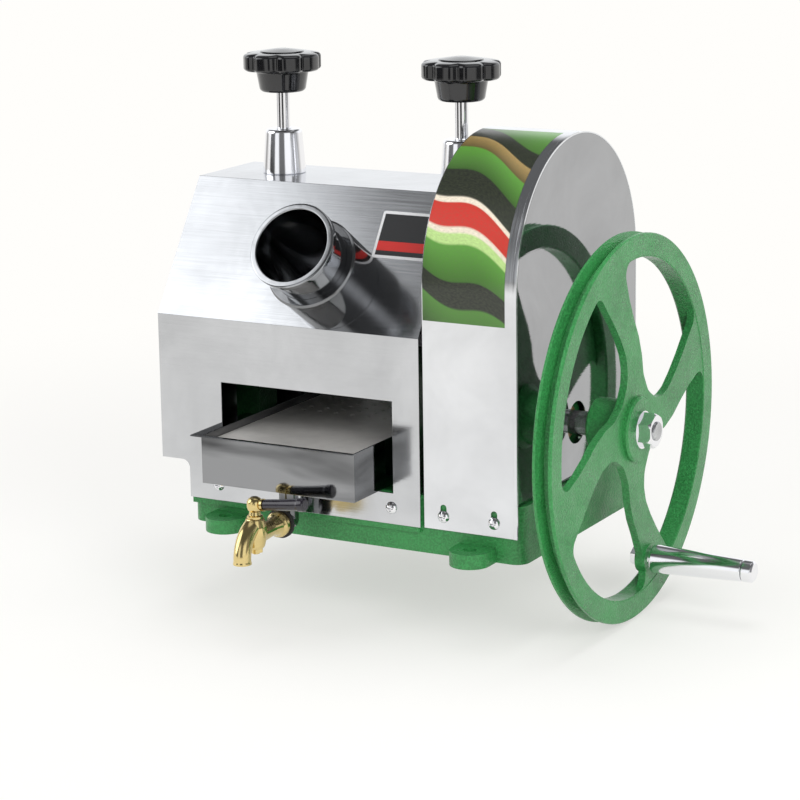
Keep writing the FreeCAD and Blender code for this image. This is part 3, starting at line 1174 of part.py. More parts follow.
def drive_gear_fixing():
    washer = rod("end_washer_disc", "X", TOP_END, ROLLER_Y, TOP_Z, "shaft_radius + 8", 4)
    hole = rod("end_washer_hole", "X", TOP_END + " - 1", ROLLER_Y, TOP_Z, 5, 6)
    end_washer = cut("end_washer_cut", washer, hole)
    head = hexagon("end_bolt_head", "X", TOP_END + " + 4", ROLLER_Y, TOP_Z, 17, 6.5)
    shank = rod("end_bolt_shank", "X", TOP_END + " - 20", ROLLER_Y, TOP_Z, 5, 25)
    bolt = fuse("end_bolt_solid", head, shank)
    finish_part(group("drive_gear_fixing", end_washer, bolt), "drive_gear_fixing")


def keyed_shaft(name, y, z, right_end, key_length, bolt_hole):
    """A roller with a key seat in its shaft, and the end bolt's hole in the top one."""
    doc.recompute()
    solid = PARTS.pop()[1]
    tools = [key_block(name + "_seat", "roller_gear_place", key_length, y, z, "shaft_radius")]
    if bolt_hole:
        tools.append(rod(name + "_end_hole", "X", right_end + " - 20", y, z, 5, 30))
    return finish_part(cut(name + "_keyed", solid, *tools), name)


# Build every sub-part
base_casting()
side_frame("left_side_frame", "frame_left", False)
side_frame("right_side_frame", "frame_right", True)
finish_part(group("frame_caps", frame_cap("left_cap", "frame_left"), frame_cap("right_cap", "frame_right")),
            "frame_caps")
finish_part(group("bearing_blocks", bearing_block("left_block", "frame_left"),
                  bearing_block("right_block", "frame_right")), "bearing_blocks")
finish_part(group("top_roller_bushes", *bush_pair("top_bush", ROLLER_Y, TOP_Z)), "top_roller_bushes")
finish_part(group("lower_roller_bushes", *bush_pair("feed_bush", FEED_Y, LOWER_Z),
                  *bush_pair("discharge_bush", DISCHARGE_Y, LOWER_Z)), "lower_roller_bushes")
finish_part(group("crank_bushes",
                  bush("crank_bush_inner", RIGHT_INNER, "crank_setback", "crank_height", "crank_radius",
                       "frame_thickness"),
                  bush("crank_bush_outer", "pedestal_place", "crank_setback", "crank_height", "crank_radius",
                       "pedestal_width")), "crank_bushes")
outer_pedestal()

LOWER_KEY = "roller_gear_width"
TOP_KEY = "(%s - roller_gear_place)" % TOP_END
for roller_name, roller_y, roller_z, shaft_end, key_length in (
        ("top_roller", ROLLER_Y, TOP_Z, TOP_END, TOP_KEY),
        ("feed_roller", FEED_Y, LOWER_Z, LOWER_END, LOWER_KEY),
        ("discharge_roller", DISCHARGE_Y, LOWER_Z, LOWER_END, LOWER_KEY)):
    short = roller_name.replace("_roller", "")
    roller(roller_name, roller_y, roller_z, shaft_end)
    keyed_shaft(roller_name, roller_y, roller_z, shaft_end, key_length, short == "top")
    fittings = [key_block(short + "_gear_key", "roller_gear_place", key_length, roller_y, roller_z,
                          "shaft_radius"),
                shaft_spacer(short + "_gear_spacer", roller_y, roller_z)]
    if short != "top":
        fittings.append(gear_ring(short + "_gear_ring", roller_y, roller_z))
    finish_part(group(short + "_gear_fittings", *fittings), short + "_gear_fittings")

drive_pitch = (size("pinion_teeth") + size("wheel_teeth")) * size("tooth_module") / 2
crank_y = size("crank_setback")
top_y = size("arch_centre_y")
top_z = size("crank_height") + math.sqrt(drive_pitch ** 2 - (top_y - crank_y) ** 2)
roller_distance = 2 * size("roller_radius") + size("roller_gap")
half_spread = size("lower_spread") / 2
drop = math.sqrt(roller_distance ** 2 - half_spread ** 2)
roller_teeth = int(size("roller_teeth"))
wheel_teeth = int(size("wheel_teeth"))
pinion_teeth = int(size("pinion_teeth"))
play = size("roller_backlash")
shaft = size("shaft_radius")
width = size("roller_gear_width")

gear("top_roller_gear", roller_teeth, play, width, shaft, 0, "roller_gear_place", ROLLER_Y, TOP_Z,
     keyed(shaft))
to_feed = math.atan2(-drop, -half_spread)
to_discharge = math.atan2(-drop, half_spread)
gear("feed_roller_gear", roller_teeth, play, width, shaft,
     meshed_phase(roller_teeth, 0, to_feed, roller_teeth),
     "roller_gear_place", FEED_Y, LOWER_Z, keyed(shaft))
gear("discharge_roller_gear", roller_teeth, play, width, shaft,
     meshed_phase(roller_teeth, 0, to_discharge, roller_teeth),
     "roller_gear_place", DISCHARGE_Y, LOWER_Z, keyed(shaft))


def lightened(shape):
    """The large gear's hub, and six round holes through its web."""
    hub = ring(size("shaft_radius") + 6, shaft,
               size("roller_gear_place") + width - size("drive_gear_place"), 6)
    shape = shape.fuse(hub)
    for n in range(6):
        turn = math.radians(60 * n + 15)
        centre = FreeCAD.Vector(-10, 68 * math.cos(turn), 68 * math.sin(turn))
        shape = shape.cut(Part.makeCylinder(20, 60, centre, FreeCAD.Vector(1, 0, 0)))
    return keyed(shaft)(shape)


to_crank = math.atan2(size("crank_height") - top_z, crank_y - top_y)
gear("drive_gear", wheel_teeth, size("drive_backlash"), size("drive_gear_width"), shaft, 0,
     "drive_gear_place",
     ROLLER_Y, TOP_Z, lightened)
gear("crank_pinion", pinion_teeth, size("drive_backlash"), size("drive_gear_width") + 3,
     size("crank_radius"),
     meshed_phase(wheel_teeth, 0, to_crank, pinion_teeth), PINION_START, "crank_setback", "crank_height",
     keyed(size("crank_radius")))
drive_gear_fixing()
crank_shaft()
crank_fittings()
hand_wheel()
hub_fasteners()
crank_handle()
turn_plate()
feed_guide()
bagasse_chute()
left_pad, left_sleeve = adjuster("left", "frame_left")
right_pad, right_sleeve = adjuster("right", "frame_right")
finish_part(group("thrust_pads", left_pad, right_pad), "thrust_pads")
finish_part(group("screw_sleeves", left_sleeve, right_sleeve), "screw_sleeves")
main_cover()
left_end_plate()
gear_cover_wrap()
gear_cover_side()
gear_cover_back()
printed_film()
feed_tube()
juice_tray()
strainer_plate()
drain_pipe()
tap()
tray_rails()
finish_part(group("cover_screws",
                  *panel_screws("main_screw", SEAT_SCREWS, "panel_screw_height", "cover_front"),
                  *panel_screws("gear_screw", GEAR_SCREWS, "gear_screw_height",
                                "(arch_centre_y - arch_radius)")),
            "cover_screws")
finish_part(group("frame_foot_bolts",
                  *bolts("foot_bolt", [(x, y) for x, y, radius in DECK_BOLTS[:4]], "base_height - base_wall",
                         "foot_bolt_radius", 30, 17, 6, True)), "frame_foot_bolts")
finish_part(group("cap_and_pedestal_bolts",
                  *bolts("cap_bolt", [(x, y) for x in ("frame_left", "frame_right") for tag, y in CAP_BOLTS],
                         FRAME_TOP + " - 20", "cap_bolt_radius", "(cap_thickness + 20)", 13, 5, False),
                  *bolts("pedestal_bolt", [(x, y) for x, y, radius in DECK_BOLTS[4:]], "base_height - 6",
                         "cap_bolt_radius", 18, 13, 5, False)), "cap_and_pedestal_bolts")
doc.recompute()

for item in doc.Objects:
    if "Invalid" in item.State or "Error" in item.State:
        raise RuntimeError("failed: %s %s" % (item.Name, item.State))
for name, thing in PARTS:
    if thing.Shape.isNull() or not thing.Shape.isValid():
        raise RuntimeError("bad shape: " + name)

os.makedirs("parts", exist_ok=True)
for name, thing in PARTS:
    thing.Shape.exportStep("parts/%s.step" % name)
    bounds = thing.Shape.BoundBox
    print("%-26s solids %d volume %.0f box %.1f %.1f %.1f to %.1f %.1f %.1f" % (
        name, len(thing.Shape.Solids), thing.Shape.Volume,
        bounds.XMin, bounds.YMin, bounds.ZMin, bounds.XMax, bounds.YMax, bounds.ZMax))
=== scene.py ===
"""Looks for a hand-cranked sugarcane press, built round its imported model."""

import json
import math

import bpy
from bpy.props import FloatProperty, FloatVectorProperty, IntProperty, PointerProperty
from mathutils import Matrix, Vector


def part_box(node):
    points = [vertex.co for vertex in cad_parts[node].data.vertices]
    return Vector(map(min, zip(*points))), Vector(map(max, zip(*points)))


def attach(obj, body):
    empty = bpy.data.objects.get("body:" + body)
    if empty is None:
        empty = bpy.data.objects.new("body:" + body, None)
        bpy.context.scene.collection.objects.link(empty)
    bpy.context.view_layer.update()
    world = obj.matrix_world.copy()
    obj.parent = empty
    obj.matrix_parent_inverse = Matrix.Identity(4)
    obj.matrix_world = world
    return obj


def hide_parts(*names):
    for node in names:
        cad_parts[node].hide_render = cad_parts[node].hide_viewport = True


bl_info = {
    "name": "Cane press looks",
    "version": (1, 0, 0),
    "blender": (4, 5, 0),
    "location": "3D View > Sidebar > Cane press",
    "description": "Fine shapes and finishes for a hand-cranked sugarcane press",
    "category": "Object",
}

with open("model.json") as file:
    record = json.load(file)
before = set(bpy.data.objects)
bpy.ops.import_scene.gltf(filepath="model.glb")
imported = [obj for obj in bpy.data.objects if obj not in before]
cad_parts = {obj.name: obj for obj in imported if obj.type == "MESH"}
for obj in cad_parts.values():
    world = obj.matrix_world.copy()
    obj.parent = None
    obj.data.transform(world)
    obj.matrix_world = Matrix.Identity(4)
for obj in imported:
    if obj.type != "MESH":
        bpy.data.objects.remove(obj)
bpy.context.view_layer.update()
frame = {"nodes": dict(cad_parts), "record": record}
BODY_OF = {node: body for body, nodes in frame["record"]["behaviour"]["bodies"].items() for node in nodes}


def middle(node):
    """The centre of a CAD node's box."""
    low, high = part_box(node)
    return (Vector(low) + Vector(high)) / 2


def colour(label, tint, words):
    """A colour that the panel can change."""
    return FloatVectorProperty(name=label, description=words, subtype="COLOR", size=3, min=0, max=1,
                               default=tint)


def length(label, metres, words):
    """A size that the panel can change."""
    return FloatProperty(name=label, description=words, unit="LENGTH", precision=4, min=0, default=metres)


class PressSizes(bpy.types.PropertyGroup):
    lobes: IntProperty(name="Knob lobes", description="Lobes round each star knob", default=8, min=5, max=12)
    lobe_depth: length("Lobe depth", 0.0046, "How far the grooves between the knob's lobes draw in")
    soft_edge: length("Soft edge", 0.0005, "Rounding along the edges of sheet metal")
    cast_edge: length("Cast edge", 0.0020, "Rounding along the edges of castings")
    wheel_edge: length("Wheel edge", 0.0018, "Rounding of the hand wheel's rim and spokes")
    turned_edge: length("Turned edge", 0.0004, "Rounding along the edges of turned pieces")
    plate_width: length("Plate width", 0.071, "Width of the small printed plate on the slanted panel")
    plate_height: length("Plate height", 0.052, "Height of the small printed plate, along the panel")
    plate_left: length("Plate gap", 0.0065, "From the plate's right edge to the cover's edge")
    plate_rise: length("Plate rise", 0.083, "From the panel's bend up to the plate")
    plate_corner: length("Plate corner", 0.0025, "Rounding of the plate's corners")
    plate_thickness: length("Plate thickness", 0.0004, "Thickness of the plate")


class PressColours(bpy.types.PropertyGroup):
    enamel: colour("Enamel", (0.034, 0.222, 0.060), "Green hammered enamel on the castings and the wheel")
    stainless: colour("Stainless", (0.62, 0.63, 0.65), "Polished sheet of the covers")
    chrome: colour("Chrome", (0.74, 0.75, 0.77), "Plated sleeves, handle and fasteners")
    brass: colour("Brass", (0.76, 0.60, 0.27), "Polished cast brass of the tap")
    phenolic: colour("Phenolic", (0.006, 0.006, 0.007), "Moulded star knobs")
    leaf: colour("Leaf", (0.075, 0.235, 0.03), "Green ribbons printed on the gear cover's film")
    cane: colour("Cane", (0.30, 0.20, 0.07), "Tan ribbon printed on the gear cover's film")
    signal: colour("Signal red", (0.58, 0.02, 0.015), "Red ribbon printed on the gear cover's film")


class PressStage(bpy.types.PropertyGroup):
    floor_gap: length("Floor gap", 0.003, "From the hand wheel down to the floor")
    floor_tint: colour("Floor", (0.93, 0.925, 0.905), "Pale floor")
    backdrop: colour("Backdrop", (1.0, 0.99, 0.965), "Pale background")
    azimuth: FloatProperty(name="Azimuth", description="Camera round the press", subtype="ANGLE",
                           default=math.radians(28.912))
    elevation: FloatProperty(name="Elevation", description="Camera above the horizon", subtype="ANGLE",
                             default=math.radians(13.035))
    roll: FloatProperty(name="Roll", description="Camera about its own line of sight", subtype="ANGLE",
                        default=math.radians(-0.829))
    lens: FloatProperty(name="Lens", description="Focal length on a 36 mm wide sensor", default=122.98)
    eye: FloatVectorProperty(name="Eye", description="Camera's place", subtype="XYZ", unit="LENGTH", size=3,
                             precision=4, default=(1.3530, -2.4894, 0.7910))


# Working with pieces
WELD = 1e-6                     # metres; nearer points are one point
FLAT = math.radians(0.6)        # faces that turn less than this are one flat face
HAIR = 0.0002                   # metres; the film's thickness, and how closely two places have to agree


def clear_selection():
    """Object mode with nothing selected."""
    if bpy.context.object is not None and bpy.context.object.mode != "OBJECT":
        bpy.ops.object.mode_set(mode="OBJECT")
    bpy.ops.object.select_all(action="DESELECT")


def take(piece):
    """Selects one piece alone and makes it the active one."""
    clear_selection()
    piece.select_set(True)
    bpy.context.view_layer.objects.active = piece
    return piece


def settle(piece):
    """Puts a piece's place, turn and scale into its mesh."""
    take(piece)
    bpy.ops.object.transform_apply(location=True, rotation=True, scale=True)
    return piece


def keep(piece, name, material, node, angle=35):
    """Names and finishes a piece, lets it stand for a CAD node, and has it ride with that node's body."""
    settle(piece)
    piece.name = name
    piece.data.name = name
    bpy.ops.object.shade_smooth_by_angle(angle=math.radians(angle))
    modify(piece, "WEIGHTED_NORMAL", keep_sharp=True, weight=100)
    piece.data.materials.clear()
    piece.data.materials.append(material)
    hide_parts(node)
    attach(piece, BODY_OF[node])
    return piece


def joined(pieces):
    """Several pieces as one mesh."""
    clear_selection()
    for piece in pieces:
        piece.select_set(True)
    bpy.context.view_layer.objects.active = pieces[0]
    bpy.ops.object.join()
    return bpy.context.object


def modify(piece, kind, **settings):
    """Adds one modifier and applies it."""
    take(piece)
    bpy.ops.object.modifier_add(type=kind)
    modifier = piece.modifiers[-1]
    for name, value in settings.items():
        setattr(modifier, name, value)
    bpy.ops.object.modifier_apply(modifier=modifier.name)
    return piece


def eased(piece, width, segments=2, angle=32):
    """Rounds every edge sharper than an angle."""
    return modify(piece, "BEVEL", width=width, segments=segments, limit_method="ANGLE",
                  angle_limit=math.radians(angle), use_clamp_overlap=True, harden_normals=False)


def turned(profile, centre, steps=64, hollow=False):
    """A piece turned about an upright axis: rings of (height, radius), extruded one from the other.
    A hollow one ends on the ring that it starts with."""
    height, radius = profile[0]
    clear_selection()
    bpy.ops.mesh.primitive_circle_add(vertices=steps, radius=radius, fill_type="NOTHING",
                                      location=(0, 0, height))
    bpy.ops.object.mode_set(mode="EDIT")
    bpy.ops.mesh.select_mode(type="EDGE")
    bpy.ops.mesh.select_all(action="SELECT")
    if not hollow:
        bpy.ops.mesh.edge_face_add()
    for next_height, next_radius in profile[1:]:
        rise = (0, 0, next_height - height)
        bpy.ops.mesh.extrude_edges_move(TRANSFORM_OT_translate={"value": rise})
        grow = next_radius / radius
        bpy.ops.transform.resize(value=(grow, grow, 1), center_override=(0, 0, next_height))
        height, radius = next_height, next_radius
    if not hollow:
        bpy.ops.mesh.edge_face_add()
    bpy.ops.mesh.select_all(action="SELECT")
    bpy.ops.mesh.remove_doubles(threshold=WELD)
    bpy.ops.mesh.normals_make_consistent(inside=False)
    bpy.ops.object.mode_set(mode="OBJECT")
    piece = bpy.context.object
    piece.location += Vector(centre)
    return settle(piece)


def copied(node):
    """A working copy of a CAD node with its loose triangles joined up, and its flat faces made whole."""
    piece = frame["nodes"][node].copy()
    piece.data = piece.data.copy()
    bpy.context.collection.objects.link(piece)
    piece.parent = None
    settle(piece)
    bpy.ops.object.mode_set(mode="EDIT")
    bpy.ops.mesh.select_all(action="SELECT")
    bpy.ops.mesh.remove_doubles(threshold=WELD)
    bpy.ops.mesh.dissolve_limited(angle_limit=FLAT)
    bpy.ops.object.mode_set(mode="OBJECT")
    return piece


# Finishes
class Web:
    """Short ways to add nodes to a shader's tree and to join them."""

    def __init__(self, tree):
        self.tree = tree

    def node(self, kind, **settings):
        made = self.tree.nodes.new("ShaderNode" + kind)
        for name, value in settings.items():
            setattr(made, name, value)
        return made

    def link(self, source, target):
        self.tree.links.new(source, target)

    def feed(self, value, target):
        """Sets an input to a number or colour, or joins a socket to it."""
        if isinstance(value, (int, float)):
            target.default_value = value
        elif isinstance(value, (tuple, list)):
            target.default_value = (*value, 1)
        else:
            self.link(value, target)

    def place(self, scale=(1, 1, 1), source="Object"):
        """Coordinates in metres on the piece, stretched by a scale."""
        mapping = self.node("Mapping")
        mapping.inputs["Scale"].default_value = scale
        self.link(self.node("TexCoord").outputs[source], mapping.inputs["Vector"])
        return mapping.outputs["Vector"]

    def split(self, vector):
        made = self.node("SeparateXYZ")
        self.link(vector, made.inputs[0])
        return made.outputs

    def gather(self, x, y, z=0.0):
        made = self.node("CombineXYZ")
        for value, target in zip((x, y, z), made.inputs):
            self.feed(value, target)
        return made.outputs[0]

    def noise(self, vector, scale, detail=3.0, roughness=0.5, distortion=0.0):
        made = self.node("TexNoise")
        made.inputs["Scale"].default_value = scale
        made.inputs["Detail"].default_value = detail
        made.inputs["Roughness"].default_value = roughness
        made.inputs["Distortion"].default_value = distortion
        self.link(vector, made.inputs["Vector"])
        return made.outputs["Fac"]

    def cells(self, vector, scale):
        made = self.node("TexVoronoi", feature="SMOOTH_F1")
        made.inputs["Scale"].default_value = scale
        self.link(vector, made.inputs["Vector"])
        return made.outputs["Distance"]

    def span(self, value, low, high, to_low, to_high, smooth=False):
        """Takes one range of values to another."""
        made = self.node("MapRange", interpolation_type="SMOOTHSTEP" if smooth else "LINEAR")
        for index, number in enumerate((low, high, to_low, to_high), start=1):
            made.inputs[index].default_value = number
        self.link(value, made.inputs[0])
        return made.outputs[0]

    def ramp(self, value, stops):
        """A colour for each stop; a plain number is a grey."""
        made = self.node("ValToRGB")
        band = made.color_ramp
        while len(band.elements) < len(stops):
            band.elements.new(0.5)
        for element, (position, tint) in zip(band.elements, stops):
            element.position = position
            element.color = (tint, tint, tint, 1) if isinstance(tint, (int, float)) else (*tint, 1)
        self.link(value, made.inputs[0])
        return made.outputs["Color"]

    def blend(self, factor, one, other):
        made = self.node("Mix", data_type="RGBA")
        for index, value in ((0, factor), (6, one), (7, other)):
            self.feed(value, made.inputs[index])
        return made.outputs[2]

    def sum(self, operation, one, other=0.0):
        made = self.node("Math", operation=operation)
        self.feed(one, made.inputs[0])
        self.feed(other, made.inputs[1])
        return made.outputs[0]

    def bearing(self, x, y):
        """How far round the press a place or direction lies: 0 at -X, 0.25 at -Y, 0.5 at +X, 0.75 at +Y."""
        return self.span(self.sum("ARCTAN2", y, x), -math.pi, math.pi, 0.0, 1.0)

    def toward(self, vector, direction):
        """How nearly a vector points along a direction, from -1 to 1."""
        made = self.node("VectorMath", operation="DOT_PRODUCT")
        made.inputs[1].default_value = Vector(direction).normalized()
        self.link(vector, made.inputs[0])
        return made.outputs["Value"]

    def mixed(self, factor, one, other):
        made = self.node("MixShader")
        self.feed(factor, made.inputs[0])
        self.link(one, made.inputs[1])
        self.link(other, made.inputs[2])
        return made.outputs[0]

    def seen(self):
        """1 for rays from the camera, from gloss and through glass, and 0 for light on dull surfaces."""
        path = self.node("LightPath").outputs
        total = self.sum("MAXIMUM", path["Is Camera Ray"], path["Is Glossy Ray"])
        return self.sum("MAXIMUM", total, path["Is Transmission Ray"])


class Finish(Web):
    """A material on one principled shader."""

    def __init__(self, name, base, metallic=0.0, roughness=0.5, **constants):
        self.material = bpy.data.materials.new(name)
        self.material.use_nodes = True
        super().__init__(self.material.node_tree)
        self.shader = self.tree.nodes["Principled BSDF"]
        self.shader.inputs["Base Color"].default_value = (*base, 1)
        self.shader.inputs["Metallic"].default_value = metallic
        self.shader.inputs["Roughness"].default_value = roughness
        for label, value in constants.items():
            self.shader.inputs[label.replace("_", " ")].default_value = value

    def paint(self, tint):
        self.link(tint, self.shader.inputs["Base Color"])

    def gloss(self, value):
        self.link(value, self.shader.inputs["Roughness"])

    def relief(self, height, strength, distance):
        made = self.node("Bump")
        made.inputs["Strength"].default_value = strength
        made.inputs["Distance"].default_value = distance
        self.link(height, made.inputs["Height"])
        self.link(made.outputs["Normal"], self.shader.inputs["Normal"])


def shade(tint, factor):
    return tuple(min(1.0, part * factor) for part in tint)


def hammered_enamel(name, tint):
    """Thick paint over a casting, with small dimples, and painted glints on the ridges between them."""
    finish = Finish(name, tint, 0.0, 0.36, Coat_Weight=0.2, Coat_Roughness=0.14, Specular_IOR_Level=0.35)
    where = finish.place()
    patches = finish.noise(where, 18, 4)
    dimples = finish.cells(where, 520)
    grain = finish.noise(where, 900, 2)
    broad = finish.ramp(patches, ((0.28, shade(tint, 0.72)), (0.55, tint), (0.8, shade(tint, 1.25))))
    # Painted highlight: the ridges between the dimples are painted lighter, as glints.
    painted_crest_glint = finish.span(dimples, 0.30, 0.60, 0.0, 0.55, True)
    finish.paint(finish.blend(painted_crest_glint, broad, shade(tint, 1.5)))
    height = finish.sum("ADD", dimples, finish.sum("MULTIPLY", grain, 0.4))
    finish.relief(height, 0.75, 0.0008)
    finish.gloss(finish.span(finish.noise(where, 60, 2), 0.3, 0.7, 0.26, 0.44))
    return finish.material


def polished_sheet(name, tint, brush, rough, haze):
    """Stainless sheet: fine brushing along one direction, and faint cloudy handling marks."""
    finish = Finish(name, tint, 1.0, rough)
    lines = finish.noise(finish.place(brush), 1.0, 2)
    clouds = finish.noise(finish.place(), 9, 4, 0.6, 0.4)
    finish.paint(finish.blend(finish.span(clouds, 0.3, 0.75, 0.0, 1.0), shade(tint, 1.05), shade(tint, 0.84)))
    cloudy = finish.span(clouds, 0.3, 0.75, rough, rough + haze)
    finish.gloss(finish.sum("ADD", cloudy, finish.span(lines, 0.3, 0.7, -0.2 * rough, 0.25 * rough)))
    finish.relief(finish.sum("ADD", lines, finish.sum("MULTIPLY", clouds, 2.0)), 0.04, 0.0004)
    return finish.material


def sheet_with_painted_reflections(name, dark, pale, rough):
    """Thin polished sheet, darker in slow waves of painted dark reflection."""
    finish = Finish(name, pale, 1.0, rough)
    waves = finish.noise(finish.place((5, 5, 26)), 1.0, 3, 0.5, 0.5)
    # Painted reflection: the colour runs from dark to pale along the waves.
    finish.paint(finish.ramp(waves, ((0.34, dark), (0.47, shade(pale, 0.7)), (0.56, pale))))
    finish.gloss(finish.span(waves, 0.3, 0.7, rough, rough * 1.7))
    finish.relief(finish.noise(finish.place((14, 600, 600)), 1.0, 2), 0.04, 0.0003)
    return finish.material


def brushed_plate(name, tint):
    """Dull brushed sheet that takes the light evenly."""
    finish = Finish(name, tint, 0.25, 0.42)
    lines = finish.noise(finish.place((12, 420, 420)), 1.0, 3)
    stains = finish.noise(finish.place(), 16, 4, 0.6)
    finish.paint(finish.blend(finish.span(stains, 0.35, 0.7, 0.0, 1.0), tint, shade(tint, 0.72)))
    finish.gloss(finish.span(lines, 0.3, 0.7, 0.34, 0.5))
    finish.relief(lines, 0.10, 0.0003)
    return finish.material


def plated(name, tint, rough, metallic=1.0):
    """Bright plate or polished casting with very faint marks."""
    finish = Finish(name, tint, metallic, rough)
    where = finish.place()
    marks = finish.noise(where, 55, 5, 0.65)
    finish.gloss(finish.span(marks, 0.35, 0.75, rough, rough * 2.6 + 0.02))
    finish.paint(finish.blend(finish.span(marks, 0.35, 0.75, 0, 1), tint, shade(tint, 0.86)))
    finish.relief(finish.noise(where, 120, 3), 0.05, 0.0002)
    return finish.material


def machined(name, tint, rough, dark):
    """Turned or cut steel with oil in its low spots."""
    finish = Finish(name, tint, 0.9, rough)
    oil = finish.noise(finish.place(), 38, 4, 0.6)
    finish.paint(finish.ramp(oil, ((0.3, shade(tint, dark)), (0.6, tint), (0.85, shade(tint, 1.15)))))
    finish.gloss(finish.span(oil, 0.3, 0.7, rough * 0.7, rough * 1.3))
    finish.relief(finish.noise(finish.place((900, 60, 60)), 1.0, 2), 0.12, 0.0002)
    return finish.material


def moulded(name, tint, rough):
    """Moulded plastic or rubber with a faint skin."""
    finish = Finish(name, tint, 0.0, rough, Coat_Weight=0.5 if rough < 0.3 else 0.0, Coat_Roughness=0.06)
    where = finish.place()
    skin = finish.noise(where, 90, 4)
    finish.gloss(finish.span(skin, 0.3, 0.7, rough * 0.8, rough * 1.35))
    finish.paint(finish.blend(finish.span(skin, 0.35, 0.7, 0, 1), tint, shade(tint, 1.5)))
    finish.relief(finish.noise(where, 160, 2), 0.02, 0.0002)
    return finish.material


NIGHT = (0.012, 0.013, 0.011)
PALE = (0.86, 0.76, 0.62)
FRESH = (0.50, 0.72, 0.26)
UNDERTONE = (0.10, 0.13, 0.06)
RIBBON_FALL = 0.45              # a ribbon's fall from the film's left edge to its right, in film widths
RIBBON_SWAY = 0.10              # how far it sways, in film widths
RIBBON_RUN = 3.1                # the length that all the ribbons share, in film widths


def printed_film(leaf, cane, signal):
    """The printed film: wavy ribbons that fall to the right, in greens, black and tan, and a red one."""
    finish = Finish("printed_film", leaf, 0.0, 0.30, Coat_Weight=0.35, Coat_Roughness=0.08)
    across, along, _ = finish.split(finish.node("UVMap").outputs["UV"])
    phase = finish.sum("ADD", finish.sum("MULTIPLY", across, 5.2), finish.sum("MULTIPLY", along, 1.4))
    sway = finish.sum("MULTIPLY", finish.sum("SINE", phase), RIBBON_SWAY)
    drop = finish.sum("ADD", finish.sum("MULTIPLY", across, RIBBON_FALL), sway)
    height = finish.span(finish.sum("ADD", along, drop), 0.0, RIBBON_RUN, 0.0, 1.0)
    dark, dim, bright = shade(leaf, 0.45), shade(leaf, 0.65), shade(leaf, 1.35)
    ribbons = finish.ramp(height, (
        (0.000, shade(leaf, 0.30)), (0.130, leaf), (0.134, NIGHT), (0.215, NIGHT),
        (0.219, dim), (0.330, bright), (0.334, FRESH), (0.365, FRESH),
        (0.369, PALE), (0.385, PALE), (0.389, signal), (0.465, signal), (0.469, PALE), (0.485, PALE),
        (0.489, NIGHT), (0.590, NIGHT), (0.594, dark), (0.700, bright),
        (0.704, shade(cane, 0.4)), (0.770, shade(cane, 1.3)), (0.774, NIGHT), (0.850, NIGHT),
        (0.854, dim), (1.000, bright)))
    fibres = finish.gather(finish.sum("MULTIPLY", across, 26.0), finish.sum("MULTIPLY", height, 190.0))
    grain = finish.noise(fibres, 1.0, 3, 0.7)
    finish.paint(finish.blend(finish.span(grain, 0.35, 0.75, 0.0, 0.35), ribbons, UNDERTONE))
    return finish.material


def banded_plate():
    """The small printed plate: a dark field with one red band low down, inside a bright border."""
    finish = Finish("banded_plate", (0.7, 0.7, 0.7), 0.0, 0.35, Coat_Weight=0.3)
    across, up, _ = finish.split(finish.node("UVMap").outputs["UV"])

    def between(value, low, high):
        over = finish.sum("GREATER_THAN", value, low)
        return finish.sum("MULTIPLY", over, finish.sum("LESS_THAN", value, high))

    left, right, foot, head = 0.04, 0.96, 0.06, 0.94
    band_foot, band_head = 0.16, 0.36
    inside = between(across, left, right)
    print_marks = finish.noise(finish.place((40, 40, 1), "UV"), 1.0, 2)
    border = finish.blend(print_marks, (0.62, 0.62, 0.63), (0.76, 0.76, 0.77))
    field = finish.sum("MULTIPLY", inside, between(up, foot, head))
    band = finish.sum("MULTIPLY", inside, between(up, band_foot, band_head))
    face = finish.blend(field, border, (0.012, 0.012, 0.013))
    finish.paint(finish.blend(band, face, (0.55, 0.02, 0.015)))
    return finish.material


def finishes():
    """Every finish of the press, by its plain name."""
    if "hammered_enamel" not in bpy.data.materials:
        tones = bpy.context.scene.press_colours
        steel = tuple(tones.stainless)
        hammered_enamel("hammered_enamel", tuple(tones.enamel))
        polished_sheet("cover_sheet", steel, (14, 700, 700), 0.105, 0.06)
        # Painted reflection: the gear cover's side gets a darker copy of the stainless, for its darker
        # reflection.
        polished_sheet("side_sheet_painted_dark", shade(steel, 0.62), (700, 14, 700), 0.03, 0.02)
        # Painted reflection: the gear cover's wrap gets a lighter copy of the stainless, for its brighter
        # reflection.
        polished_sheet("arch_sheet_painted_bright", shade(steel, 1.28), (700, 14, 14), 0.085, 0.05)
        # Painted shade: the frames inside the press get a much darker copy of the enamel.
        hammered_enamel("enamel_painted_in_shade", shade(tuple(tones.enamel), 0.16))
        # Painted reflection: the tray gets a much darker copy of the stainless.
        sheet_with_painted_reflections("tray_sheet", shade(steel, 0.14), shade(steel, 0.50), 0.06)
        brushed_plate("strainer_sheet", (0.74, 0.72, 0.69))
        polished_sheet("inner_sheet", shade(steel, 0.85), (20, 500, 500), 0.26, 0.12)
        plated("chrome", tuple(tones.chrome), 0.035)
        # Painted reflection: the feed tube and its collar get darker copies of the stainless, the collar much
        # darker, for their dark reflections.
        plated("tube_steel_painted_dark", shade(steel, 0.72), 0.06)
        plated("collar_steel_painted_dark", shade(steel, 0.38), 0.06)
        plated("cast_brass", tuple(tones.brass), 0.10)
        plated("bronze", (0.62, 0.41, 0.17), 0.28)
        machined("turned_steel", (0.62, 0.63, 0.64), 0.24, 0.7)
        machined("roller_steel", (0.70, 0.71, 0.72), 0.20, 0.75)
        machined("oiled_gear", (0.28, 0.28, 0.29), 0.34, 0.35)
        moulded("phenolic", tuple(tones.phenolic), 0.09)
        moulded("lever_grip", (0.012, 0.010, 0.016), 0.20)
        moulded("rubber", (0.018, 0.018, 0.018), 0.62)
        printed_film(tuple(tones.leaf), tuple(tones.cane), tuple(tones.signal))
        banded_plate()
    return bpy.data.materials


